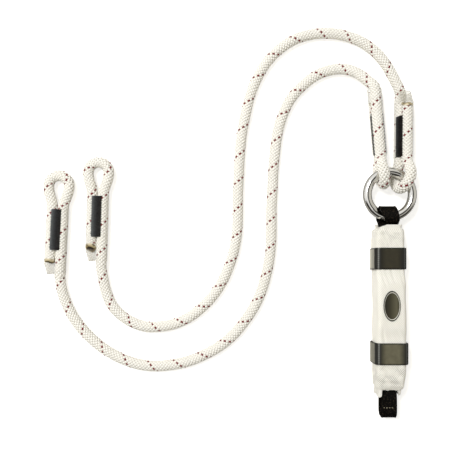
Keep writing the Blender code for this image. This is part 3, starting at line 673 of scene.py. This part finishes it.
# The absorber's cover: a cream canvas tube, woven in a twill whose ribs run down to the right, drawn in by
# the two bands and folded under at its ends.
twill, g, given, gives = node_group("twill", {"Ribs": 560, "Slant": 0.8}, ("Height", "Yarn"))
place = g.axes(given["Vector"])
cross = g.plus(place["X"], g.times(place["Y"], given["Slant"]))
cross = g.plus(cross, g.times(g.noise(given["Vector"], 90, 2), 0.0009))
rib = g.math("SINE", g.times(cross, given["Ribs"], 2 * math.pi))
step = g.math("SINE", g.times(place["Y"], given["Ribs"], 4 * math.pi))
g.put(g.span(g.plus(rib, g.times(step, 0.18)), -1.18, 1.18), gives["Height"])
g.put(g.noise(given["Vector"], 3000, 2), gives["Yarn"])


def woven(name, light, gap_shade, ribs, slant, bump, grubby=0, **sockets):
    """Cloth material from the twill: light rib tops over grooves in a painted shade colour, with uneven yarns tinted
    toward that colour, and grubby at its ends.
    """
    mat, g = finish(name, light, 0.9, **sockets)
    uv = g.uv()
    made = g.node("ShaderNodeGroup", {"Vector": uv, "Ribs": ribs, "Slant": slant}, node_tree=twill)
    height, yarn = made.outputs["Height"], made.outputs["Yarn"]
    # Painted shade: the grooves between the ribs take the shade colour.
    colour = g.mix(g.span(height, 0, 0.45), gap_shade, light)
    colour = g.mix(g.span(yarn, 0.3, 0.7, 0, 0.14), colour, gap_shade)
    soil = g.span(g.noise(uv, 45, 4), 0.45, 0.75, 0, 0.16)
    colour = g.mix(soil, colour, toned(light, 0.86, 0.82, 0.72))
    if grubby:
        at = g.axes(uv)["Y"]
        ends = g.most(g.span(at, -0.064, -0.052, grubby, 0), g.span(at, 0.056, 0.074, 0, grubby * 0.6))
        grime = g.times(g.span(g.noise(uv, 120, 3), 0.42, 0.6, 0.12, 1), g.span(height, 0.25, 0.75, 1, 0))
        colour = g.mix(g.times(ends, grime), colour, (0.26, 0.24, 0.19))
    g.feed(Base_Color=colour, Normal=g.bump(g.plus(height, g.times(yarn, 0.5)), 0.6, bump))
    return mat


canvas = woven(
    "cover_canvas", (0.96, 0.945, 0.875), (0.8, 0.76, 0.65), 500, 0.8, 0.0006, 0.62, Sheen_Weight=0.2,
)

HALF, PACK_T, PACK_CORNER = 0.0815, 0.0305, 0.0044  # half length, thickness and corner radius of the pack
PACK_MID = PACK_T / 2
# y, width, top, underside and middle's x in mm: the pack leans a little to the left at the ring end
COVER_STATIONS = np.array([
    (81.5, 25.6, 27.7, 1.4, -1.1), (78, 28, 29.1, 0.8, -1.8), (68.5, 29.2, 29, 1.5, -1.7),
    (33.5, 28.7, 29, 1.5, -1.3), (25.5, 29.3, 30.5, 0, -0.8), (4.4, 29, 30.5, 0, -0.3),
    (-19.4, 29.8, 30.5, 0, -0.3), (-27.4, 30.3, 29, 1.5, -0.2), (-62.4, 29.7, 29, 1.5, -0.1),
    (-71.5, 27.9, 29.9, 0.4, -0.6), (-78, 27.5, 29.1, 0.8, -1.1), (-81.5, 26.4, 27.3, 1.4, -1.5),
]) / 1000
# x and y of both ends, depth and half width in mm of the cloth's folds on the front
FOLDS = np.array([
    (-9, 76.5, -3.5, 64, 0.6, 1.6), (-4, 77, 6, 73.5, 0.35, 1.4), (2, 70, 8.5, 64, 0.3, 1.6),
    (-12, 39.5, -7.5, 25, 0.45, 1.4), (-2, 40, 1, 30, 0.3, 1.5), (8, 39, 11, 24, 0.3, 1.3),
    (-10, -20, -8, -34, 0.35, 1.4), (5, -21, 10, -33, 0.35, 1.5), (-11, -56, -3, -64, 0.5, 1.8),
    (-5, -68, 8, -66, 0.45, 2.2), (2, -56, 10, -62, 0.35, 1.6), (-12, -73, 9, -75.5, 0.35, 1.4),
]) / 1000


def section(width, top, bottom, corner, inset, count):
    """Rounded rectangle of count points, evenly spaced, and the length run to each."""
    w, t, b = width / 2 - inset, top - inset, bottom + inset
    r = max(corner - inset, 0.0008)
    q = np.radians(np.linspace(0, 90, 12)) + np.arange(4)[:, None] * math.pi / 2
    cx, cz = (w - r) * np.array([[1], [-1], [-1], [1]]), np.array([[t - r], [t - r], [b + r], [b + r]])
    points = np.stack([cx + r * np.cos(q), cz + r * np.sin(q)], axis=-1).reshape(-1, 2)
    points = np.vstack([points, points[:1]])
    run = run_of(points)
    at = np.linspace(0, run[-1], count + 1)
    return np.column_stack([np.interp(at, run, points[:, k]) for k in (0, 1)]), at


def tube_along(stations, inset, y):
    """Sections of a pack layer at the places y, between stations (y, width, top, bottom, x)."""
    order = np.argsort(stations[:, 0])
    facts = [np.interp(y, stations[order, 0], stations[order, k]) for k in (1, 2, 3, 4)]
    grid, around = [], []
    for at, width, top, bottom, x in zip(y, *facts):
        ring, run = section(width, top, bottom, PACK_CORNER, inset, 200)
        grid.append(np.column_stack([ring[:-1, 0] + x, np.full(200, at), ring[:-1, 1]]))
        around.append(run)
    return np.array(grid), np.array(around)


def creased(grid, middle):
    """Moves a layer's points along their outward direction: soft sines that die away from the bands, a slow
    wave along the pack, and on the front the folds, each a valley -d exp(-(distance / w)^2) with raised banks."""
    out = grid - middle
    out[..., 1] = 0
    out /= np.linalg.norm(out, axis=-1)[..., None]
    x, yy, z = grid[..., 0], grid[..., 1], grid[..., 2]
    near = sum(np.exp(-(((yy - at) / 0.012) ** 2)) for at in (0.036, -0.03, -0.06, 0.066))
    wave = 0.00018 * np.sin(x * 900 + yy * 260 + 1.2) * near + 0.00022 * np.sin(yy * 150 + x * 90 + z * 60)
    front = np.clip((z - 0.024) / 0.003, 0, 1)
    for x0, y0, x1, y1, deep, wide in FOLDS:
        length = math.hypot(x1 - x0, y1 - y0)
        ux, uy = (x1 - x0) / length, (y1 - y0) / length
        along = (x - x0) * ux + (yy - y0) * uy
        past = np.maximum(np.maximum(-along, along - length), 0) * 0.45
        off = np.hypot((x - x0) * uy - (yy - y0) * ux, past) / wide
        wave -= 1.1 * deep * front * (np.exp(-(off**2)) - 0.55 * np.exp(-((off - 1.6) ** 2) * 1.4))
    return grid + out * (wave - 0.00015)[..., None]


def layer(name, stations, inset, wall, shape, material, node):
    """A tube of cloth with a wall: its outer and inner grids joined at both ends, its rims cut to shape(x, z)."""
    y = np.linspace(stations[0, 0], stations[-1, 0], 230)
    outer, run = tube_along(stations, inset, y)
    inner, _ = tube_along(stations, inset + wall, y)
    middle = np.stack([0 * y, y, 0 * y + PACK_MID], axis=1)[:, None]
    grid = np.concatenate([creased(outer, middle), creased(inner, middle)[::-1]])
    high, low = shape(grid[..., 0], grid[..., 2])
    grid[..., 1] = np.clip(grid[..., 1], low, high)
    around = np.concatenate([run, run[::-1], run[:1]])
    along = np.concatenate([grid[..., 1], grid[:1, :, 1]])
    uv = np.stack([around, np.concatenate([along, along[:, :1]], axis=1)], axis=-1)
    mesh = skin(surface(grid[:, ::-1], uv[:, ::-1], joined=True))
    show(name, mesh, material, "absorber", node)


def cover_rims(x, z):
    """The cover's mouth rounds off at both front corners, more on the left."""
    left, right = np.clip((-0.0085 - x) / 0.006, 0, 1), np.clip((x - 0.0075) / 0.005, 0, 1)
    return HALF - (0.0028 * left**1.6 + 0.0018 * right**1.6), -HALF + 0.0012 * left + 0.0012 * right


layer("cover_cloth", COVER_STATIONS, 0, 0.0013, cover_rims, canvas, "absorber_cover")

# The liner: a thin white tube inside the cover. It shows past the cover as a lip at the ring end, cut back on
# the left, and as two flaps beside the lower loop, where its foot is slit.
liner_cloth = woven("liner_cloth", (0.92, 0.91, 0.86), (0.66, 0.62, 0.52), 800, 0, 0.0004)
LIP, FLAP = 0.0035, 0.008  # how far the liner stands out of the cover at either end
LINER_STATIONS = np.vstack([
    (HALF + LIP, 0.0272, *COVER_STATIONS[0, 2:]), COVER_STATIONS,
    (-HALF - FLAP, 0.0262, *COVER_STATIONS[-1, 2:4], -0.0025),
])


def liner_rims(x, z):
    """The liner's lip slants down to the left on the front, and its foot is slit between the two flaps."""
    slanted = HALF + np.where(z > PACK_MID, LIP * np.clip((x + 0.0145) / 0.0098, -0.1, 1), LIP)
    foot = np.where(np.abs(x + 0.0015) < 0.0082, -HALF - 0.0003, -HALF - FLAP + np.where(x > 0, 0.0022, 0.0006))
    return slanted, foot + 0.0008 * np.sin(x * 700 + z * 300)


layer("liner_cloth", LINER_STATIONS, 0.0016, 0.0008, liner_rims, liner_cloth, "inner_liner")

# Webbing: narrow woven tape with a raised selvedge at each edge. The black loops and the grey tear webbing
# between them are lengths of it.
weave, g, given, gives = node_group("webbing_weave", {"Pitch": 0.0011}, ("Height",))
place = g.axes(given["Vector"])
across = g.math("DIVIDE", place["X"], given["Pitch"])
along = g.math("DIVIDE", place["Y"], given["Pitch"])
shift = g.times(g.math("MODULO", g.math("FLOOR", across), 2), 0.5)
fy = g.minus(g.math("FRACT", g.plus(g.times(along, 0.5), shift)), 0.5)
fx = g.minus(g.math("FRACT", across), 0.5)
bulge = g.times(g.math("COSINE", g.times(fx, math.pi)), g.math("COSINE", g.times(fy, math.pi)))
g.put(g.most(bulge, 0), gives["Height"])


def tape(name, light, gap_shade, pitch, roughness, painted_shine=None, **sockets):
    """Webbing material: light picks over gaps in a painted shade colour, with specks of painted glints where a third
    colour is given.
    """
    mat, g = finish(name, light, roughness, **sockets)
    uv = g.uv()
    picks = g.node("ShaderNodeGroup", {"Vector": uv, "Pitch": pitch}, node_tree=weave).outputs["Height"]
    height = g.plus(picks, g.times(g.noise(uv, 4000, 2), 0.3))
    # Painted shade: the gaps between picks take the second colour. The specks of a third colour are painted glints.
    colour = g.mix(picks, gap_shade, light)
    if painted_shine:
        colour = g.mix(g.span(g.noise(uv, 620, 2), 0.54, 0.66, 0, 0.7), colour, painted_shine)
    g.feed(Base_Color=colour, Normal=g.bump(height, 0.7, 0.0004))
    return mat


# The black tape's third colour is brown specks painted as glints.
black_tape = tape(
    "webbing_black", (0.0028, 0.0023, 0.0018), (0.0008, 0.0007, 0.0006), 0.0011, 0.5, (0.034, 0.025, 0.016),
    Specular_IOR_Level=0.05,
)
grey_tape = tape("tear_webbing_grey", (0.5, 0.49, 0.45), (0.24, 0.23, 0.21), 0.0011, 0.85)


def ribbon(name, rows, step, material, node):
    """Strip along rows of (y, z, thickness, width, x): its section is a flat tape with rounded, raised edges,
    h(u) = t/2 (0.76 + 0.34 bell(|u| - 0.86)), laid off across the line."""
    rows = np.asarray(rows, float)
    yz = np.column_stack([0 * rows[:, 0], rows[:, :2]])
    line = evenly(smooth_line(yz, 2 * yz[0] - yz[1], 2 * yz[-1] - yz[-2]), step)
    place, run = run_of(yz), run_of(line)
    thick, width, x = (np.interp(run / run[-1], place / place[-1], rows[:, k])[:, None] for k in (2, 3, 4))
    t = np.gradient(line[:, 1:], axis=0)
    t /= np.linalg.norm(t, axis=1)[:, None]
    n = np.column_stack([-t[:, 1], t[:, 0]])
    u = np.concatenate([np.linspace(-1, 1, 23), np.linspace(1, -1, 23)])
    edge = np.sqrt(np.clip(1 - np.clip((np.abs(u) - 0.93) / 0.07, 0, 1) ** 2, 0, 1))
    h = np.where(np.arange(46) < 23, -1, 1) * edge * (0.76 + 0.34 * np.exp(-(((np.abs(u) - 0.86) / 0.07) ** 2)))
    half = thick / 2 * h[None]
    grid = np.stack([x + u[None] * width / 2, line[:, 1:2] + n[:, :1] * half, line[:, 2:3] + n[:, 1:] * half], axis=-1)
    uv = pairs(np.append(u, -1)[None] * (width / 2), run[:, None])
    show(name, skin(surface(grid, uv)), material, "absorber", node)


TEAR_T, TEAR_W, TEAR_PITCH, TEAR_HALF, TONGUE_END = 0.0023, 0.0195, 0.0028, 0.06, 0.0785
low, fold = PACK_MID - 3 * TEAR_PITCH, TEAR_PITCH / 2
turn = np.radians(np.linspace(-90, 90, 5))
reach = TEAR_HALF + fold + TEAR_T + 0.0012
path = [
    (-TONGUE_END, PACK_MID), (-reach - 0.0042, PACK_MID), (-reach - 0.0012, PACK_MID - 0.0016),
    (-reach, PACK_MID - 0.006), (-reach + 0.0012, low + 0.0018), (-TEAR_HALF - 0.001, low),
]
rise = path[1:][::-1]
for ply_no in range(7):
    z, way = low + ply_no * TEAR_PITCH, (1, -1)[ply_no % 2]
    if ply_no:
        path.append((-way * TEAR_HALF, z))
    if ply_no < 6:
        path += [(way * (TEAR_HALF + fold * math.cos(a)), z + fold + fold * math.sin(a)) for a in turn[:-1]]
path += [(-y, 2 * PACK_MID - z) for y, z in rise] + [(TONGUE_END, PACK_MID)]
rows = [(y, z, TEAR_T * 0.96, TEAR_W, 0) for y, z in path]
ribbon("tear_strip", rows, 0.001, grey_tape, "tear_webbing")

LOOP_T, LOOP_START = 0.0022, 0.071  # thickness of a black loop, and where its sewn ends begin in the pack
ply = TEAR_T / 2 + 0.0003 + LOOP_T / 2
BAR_Y, BAR_Z = RING_C[1] - RING_R, RING_C[2]
open_r = 0.010169
bend = np.radians((78, 52, 26, 0, -26, -52, -78))
GATHER = (0.0172, 0.0186, 0.018, 0.017, 0.0178, 0.0186, 0.019)  # the loop's width round the ring
LEAN = (-0.0016, -0.003, -0.003, -0.0027, -0.0024, -0.0021, -0.002)  # and its middle's x there
top, under = PACK_MID + ply, PACK_MID - ply
upper = [
    (LOOP_START, top, 0.012, 0.002), (TONGUE_END, top, 0.012, 0.002),
    (HALF + LIP, top + 0.003, 0.0121, 0.0019), (BAR_Y - 0.003, BAR_Z + open_r - 0.0006, 0.0146, 0.0002),
    *((BAR_Y + open_r * math.cos(a), BAR_Z + open_r * math.sin(a), w, x) for a, w, x in zip(bend, GATHER, LEAN)),
    (BAR_Y - 0.003, BAR_Z - open_r + 0.0006, 0.019, -0.002),
    (HALF + 0.003, under - 0.0012, 0.019, -0.001),
    (TONGUE_END, under, 0.019, -0.0006), (LOOP_START, under, 0.019, -0.0006),
]
rows = [(y, z, LOOP_T, w, x) for y, z, w, x in upper]
ribbon("upper_loop_strip", rows, 0.0005, black_tape, "upper_webbing_loop")

swell, out = 0.007, -0.111  # the lower loop's half height and its far end
half_loop = [
    (-LOOP_START, ply), (-TONGUE_END, ply), (-HALF - 0.0055, swell * 0.86), (-0.0959, swell), (-0.1049, swell),
    (out + 0.0035, swell * 0.93), (out + 0.0008, swell * 0.68), (out, swell * 0.42),
]
lower = [(y, PACK_MID + z) for y, z in half_loop] + [(y, PACK_MID - z) for y, z in half_loop[::-1]]
rows = [(y, z, LOOP_T, 0.0155, -0.0015) for y, z in lower]
ribbon("lower_loop_strip", rows, 0.0005, black_tape, "lower_webbing_loop")

# Rows of stitches: one of pale thread across the lower loop's face, and the hidden tacks that hold each black
# loop to the tear webbing's end.
pale, g = finish("thread_pale", (0.4, 0.36, 0.26), 0.6)
# The grooves of the twist are painted darker as shade.
twist = g.twist(g.uv(), 0.5)
g.feed(Normal=g.bump(twist, 0.5, 0.0002), Base_Color=g.mix(twist, (0.2, 0.17, 0.11), (0.46, 0.42, 0.31)))


def stitch_row(y, x, z, half):
    """Four stitches, each a short raised thread on both faces, joined by legs through the webbing."""
    a = np.linspace(0, 2 * math.pi, 40)
    across = 0.0005 * np.sign(np.cos(a)) * np.abs(np.cos(a)) ** 0.5
    through = (half + 0.00018) * np.sign(np.sin(a)) * np.abs(np.sin(a)) ** 0.35
    lines = [np.column_stack([u + across, y + 0 * a, z + through]) for u in x + (np.arange(4) - 1.5) * 0.0028]
    return skin(*(thread(line, 0.00033, (0, 1, 0), 8) for line in lines))


skim = LOOP_T / 2 + 0.0003
for name, node, y, x, z, half, mat, slot in (
    ("upper_tack", "upper_loop_tack", 0.07475, 0.001, PACK_MID, ply + skim, thread_black, "black_thread"),
    ("lower_tack", "lower_loop_tack", -0.07475, -0.0015, PACK_MID, ply + skim, thread_black, "black_thread"),
    ("lower_seam", "lower_loop_seam", -0.1004, -0.003, PACK_MID + swell, skim, pale, "pale_thread"),
):
    show(name + "_stitches", stitch_row(y, x, z, half), mat, "absorber", node)


# Bands: wide elastic rings cut from smoky rubber tube. They look black where they turn over the pack's front
# corners, olive where they lie flat, and pale on the sides, where the cover shows through.
BAND_T, BAND_HALF, BAND_CORNER = 0.0012, 0.0109, 0.0056


def band_finish(name, x, half, corner, front, side_top, side_low):
    """Colours by place round the pack, with darker rims, and a row of small crimps along each front corner that
    carries a painted highlight, stronger on the -x side toward the lamp.
    """
    mat, g = finish(name, front, 0.34, Specular_IOR_Level=0.22, Coat_Weight=0.08, Coat_Roughness=0.12)
    uv, where = g.uv(), g.axes(g.place())
    at = g.axes(uv)["Y"]
    cloud = g.noise(uv, 160, 3)
    out = g.size(g.minus(where["X"], x))
    face = g.mix(g.span(cloud, 0.3, 0.7), front, toned(front, 0.75))
    face = g.mix(g.span(out, half - 0.0105, half - 0.004, 1, 0), corner, face)
    flank = g.span(where["Z"], 0.004, 0.0255)
    flank = g.ramp(flank, (0, side_low), (0.55, side_top), (0.85, side_top), (1, corner))
    colour = g.mix(g.span(out, half - 0.0022, half - 0.0008), face, flank)
    colour = g.mix(g.times(g.span(g.size(at), 0.0092, 0.0104), 0.9), colour, corner)
    crimp = g.math("SINE", g.times(g.plus(at, g.times(cloud, 0.0006)), 2 * math.pi / 0.0021))
    off = g.size(g.minus(out, half - 0.003))
    bent = g.times(g.span(off, 0.0003, 0.001, 1, 0), g.span(where["Z"], 0.02, 0.024))
    # Painted highlight: the crimps along the front corners take a pale colour, stronger on the -x side toward the
    # lamp.
    lamp_side = g.span(where["X"], x - 0.002, x + 0.002, 0.9, 0.3)
    bead_highlight = g.times(bent, g.span(crimp, -1, 0.9, 0.55, 0.9), lamp_side)
    g.feed(
        Base_Color=g.mix(bead_highlight, colour, (0.22, 0.22, 0.2)), Roughness=g.span(cloud, 0.3, 0.7, 0.28, 0.46),
        Normal=g.bump(g.plus(bead_highlight, g.times(cloud, 0.5)), 0.6, 0.0004),
    )
    return mat


def band(body, x, y, width, finish_name, *colours):
    """Closed strip round the cover's section, its edge rounded by e(v) over the last 1 mm. It sits askew: the
    lower z, the lower y, by 2.5 mm from front to back."""
    at = np.linspace(-1, 1, 25) * BAND_HALF
    edge = 0.0005 * np.clip((np.abs(at) - 0.0099) / 0.001, 0, 1) ** 2
    grid, uv = [], []
    for v, inset in (*zip(at, edge), *((v, BAND_T) for v in at[::-1])):
        ring, run = section(width, PACK_T, 0, BAND_CORNER, inset, 120)
        askew = y + v - 0.0025 * (1 - ring[:-1, 1] / PACK_T)
        grid.append(np.column_stack([ring[:-1, 0] + x, askew, ring[:-1, 1]]))
        uv.append(np.column_stack([run, np.full(121, v)]))
    mesh = skin(surface(np.array(grid), np.array(uv + uv[:1]), joined=True))
    show(body + "_rubber", mesh, band_finish(finish_name, x, width / 2, *colours), body, body)


band(
    "upper_band", -0.0014, 0.051, 0.0322, "band_rubber_black",
    (0.014, 0.014, 0.011), (0.043, 0.038, 0.024), (0.34, 0.33, 0.27), (0.88, 0.86, 0.75),
)
band(
    "lower_band", -0.0002, -0.0449, 0.0338, "band_rubber_olive",
    (0.016, 0.016, 0.013), (0.15, 0.138, 0.088), (0.22, 0.21, 0.16), (0.34, 0.33, 0.26),
)

# The patch: a moulded oval of dark olive, glued to the cover, with two fine pale lines round its rim and a
# bare middle.
label, g = finish("label_olive", (0.05, 0.047, 0.034), 0.5, Specular_IOR_Level=0.2)
at = g.axes(g.uv())["Y"]
ring_a = g.times(g.span(at, 0.955, 0.965), g.span(at, 0.975, 0.985, 1, 0))
ring_b = g.times(g.span(at, 0.855, 0.87), g.span(at, 0.905, 0.92, 1, 0))
line_mask = g.most(g.times(ring_a, 0.12), ring_b)
# The field goes from near black at the left to lighter olive right of the middle, and a little darker again at the
# right rim.
field = g.ramp(
    g.span(g.axes(g.place())["X"], -0.0085, 0.0062), (0, (0.016, 0.015, 0.01)), (0.35, (0.04, 0.036, 0.021)),
    (0.8, (0.105, 0.097, 0.06)), (1, (0.06, 0.055, 0.034)),
)
field = g.mix(g.span(at, 0.83, 0.85), field, (0.018, 0.017, 0.012))
g.feed(Base_Color=g.mix(line_mask, field, (0.66, 0.64, 0.55)))
LABEL_AT, LABEL_W, LABEL_H, LABEL_T = (-0.0012, 0.0034), 0.0172, 0.0305, 0.0007


def patch_skin():
    """Oval discs of growing radius s: height rises to the rim, dips inside it, and rounds off at the edge."""
    s = np.array([0, 0.2, 0.4, 0.6, 0.75, 0.84, 0.87, 0.9, 0.94, 0.97, 0.99, 1, 1, 0.98, 0.5, 0])
    h = np.array([0.55, 0.55, 0.55, 0.55, 0.55, 0.55, 0.75, 0.95, 1, 0.97, 0.8, 0.5, 0, 0, 0, 0])
    s = np.clip(s, 0.001, 1)
    a = round_section(96)
    x = LABEL_AT[0] + s[:, None] * LABEL_W / 2 * np.cos(a)
    y = LABEL_AT[1] + s[:, None] * LABEL_H / 2 * np.sin(a)
    z = np.broadcast_to(PACK_T + 0.0003 + (h * LABEL_T)[:, None], x.shape)
    uv = pairs(np.linspace(0, 1, 97), s[:, None])
    return skin(surface(np.stack([x, y, z], axis=-1)[:, ::-1], uv[:, ::-1]))


show("patch_oval", patch_skin(), label, "absorber", "label_patch")

# The table and the light: a pale plain surface that shows white to the camera and keeps a soft shadow, under
# one large soft lamp at the upper left and an even pale room.
floor_mesh = bpy.data.meshes.new("table")
corners = [(x, y, -0.0003) for x, y in ((-3, -3), (3, -3), (3, 3), (-3, 3))]
floor_mesh.from_pydata(corners, [], [(0, 1, 2, 3)])
floor = bpy.data.objects.new("table", floor_mesh)
scene.collection.objects.link(floor)
PALE = (0.9, 0.88, 0.83)
table_white, g = finish("table_white", PALE, 0.9, Specular_IOR_Level=0.1, Emission_Color=(1, 1, 1))
ray = g.node("ShaderNodeLightPath").outputs
g.feed(
    Emission_Strength=g.times(ray["Is Camera Ray"], 0.62),
    Base_Color=g.mix(ray["Is Glossy Ray"], PALE, (0.36, 0.355, 0.34)),
)
floor_mesh.materials.append(table_white)

world = bpy.data.worlds.new("room")
world.use_nodes = True
scene.world = world
g = Nodes(world.node_tree)
ray = g.node("ShaderNodeLightPath").outputs
side = g.axes(g.node("ShaderNodeTexCoord").outputs["Generated"])
near = g.times(g.span(side["Y"], -0.16, -0.34, 0, 1), g.span(side["Z"], 0.72, 0.88, 1, 0))
over = g.times(g.span(side["Z"], 0.87, 0.95), g.span(side["X"], -0.16, 0))
walls = g.ramp(
    g.span(side["X"], -1, 1), (0, (1, 1, 1)), (0.55, (0.86, 0.85, 0.82)), (0.8, (0.6, 0.58, 0.52)),
    (1, (0.7, 0.68, 0.62)),
)
room = g.mix(g.most(near, over), walls, (0.045, 0.042, 0.036))
toward = g.span(g.minus(side["Y"], side["X"]), -1.4, 1.4)
plain = g.mix(toward, (0.31, 0.295, 0.25), (0.46, 0.46, 0.46))
tone = g.mix(ray["Is Camera Ray"], g.mix(ray["Is Glossy Ray"], plain, room), (1, 1, 1))
back = world.node_tree.nodes["Background"].inputs
g.put(tone, back["Color"])
back["Strength"].default_value = 1

lamp = bpy.data.lights.new("soft_lamp", "AREA")
lamp.shape, lamp.size, lamp.energy = "DISK", 0.6, 29.5
lamp_obj = bpy.data.objects.new("soft_lamp", lamp)
lamp_obj.location = (-0.85, 0.72, 1.62)
aim = np.array((-0.17, 0.08, 0)) - np.array(lamp_obj.location)
lamp_obj.rotation_euler = (math.acos(-aim[2] / np.linalg.norm(aim)), 0, math.atan2(aim[1], aim[0]) - math.pi / 2)
scene.collection.objects.link(lamp_obj)
scene.view_settings.view_transform = "Standard"
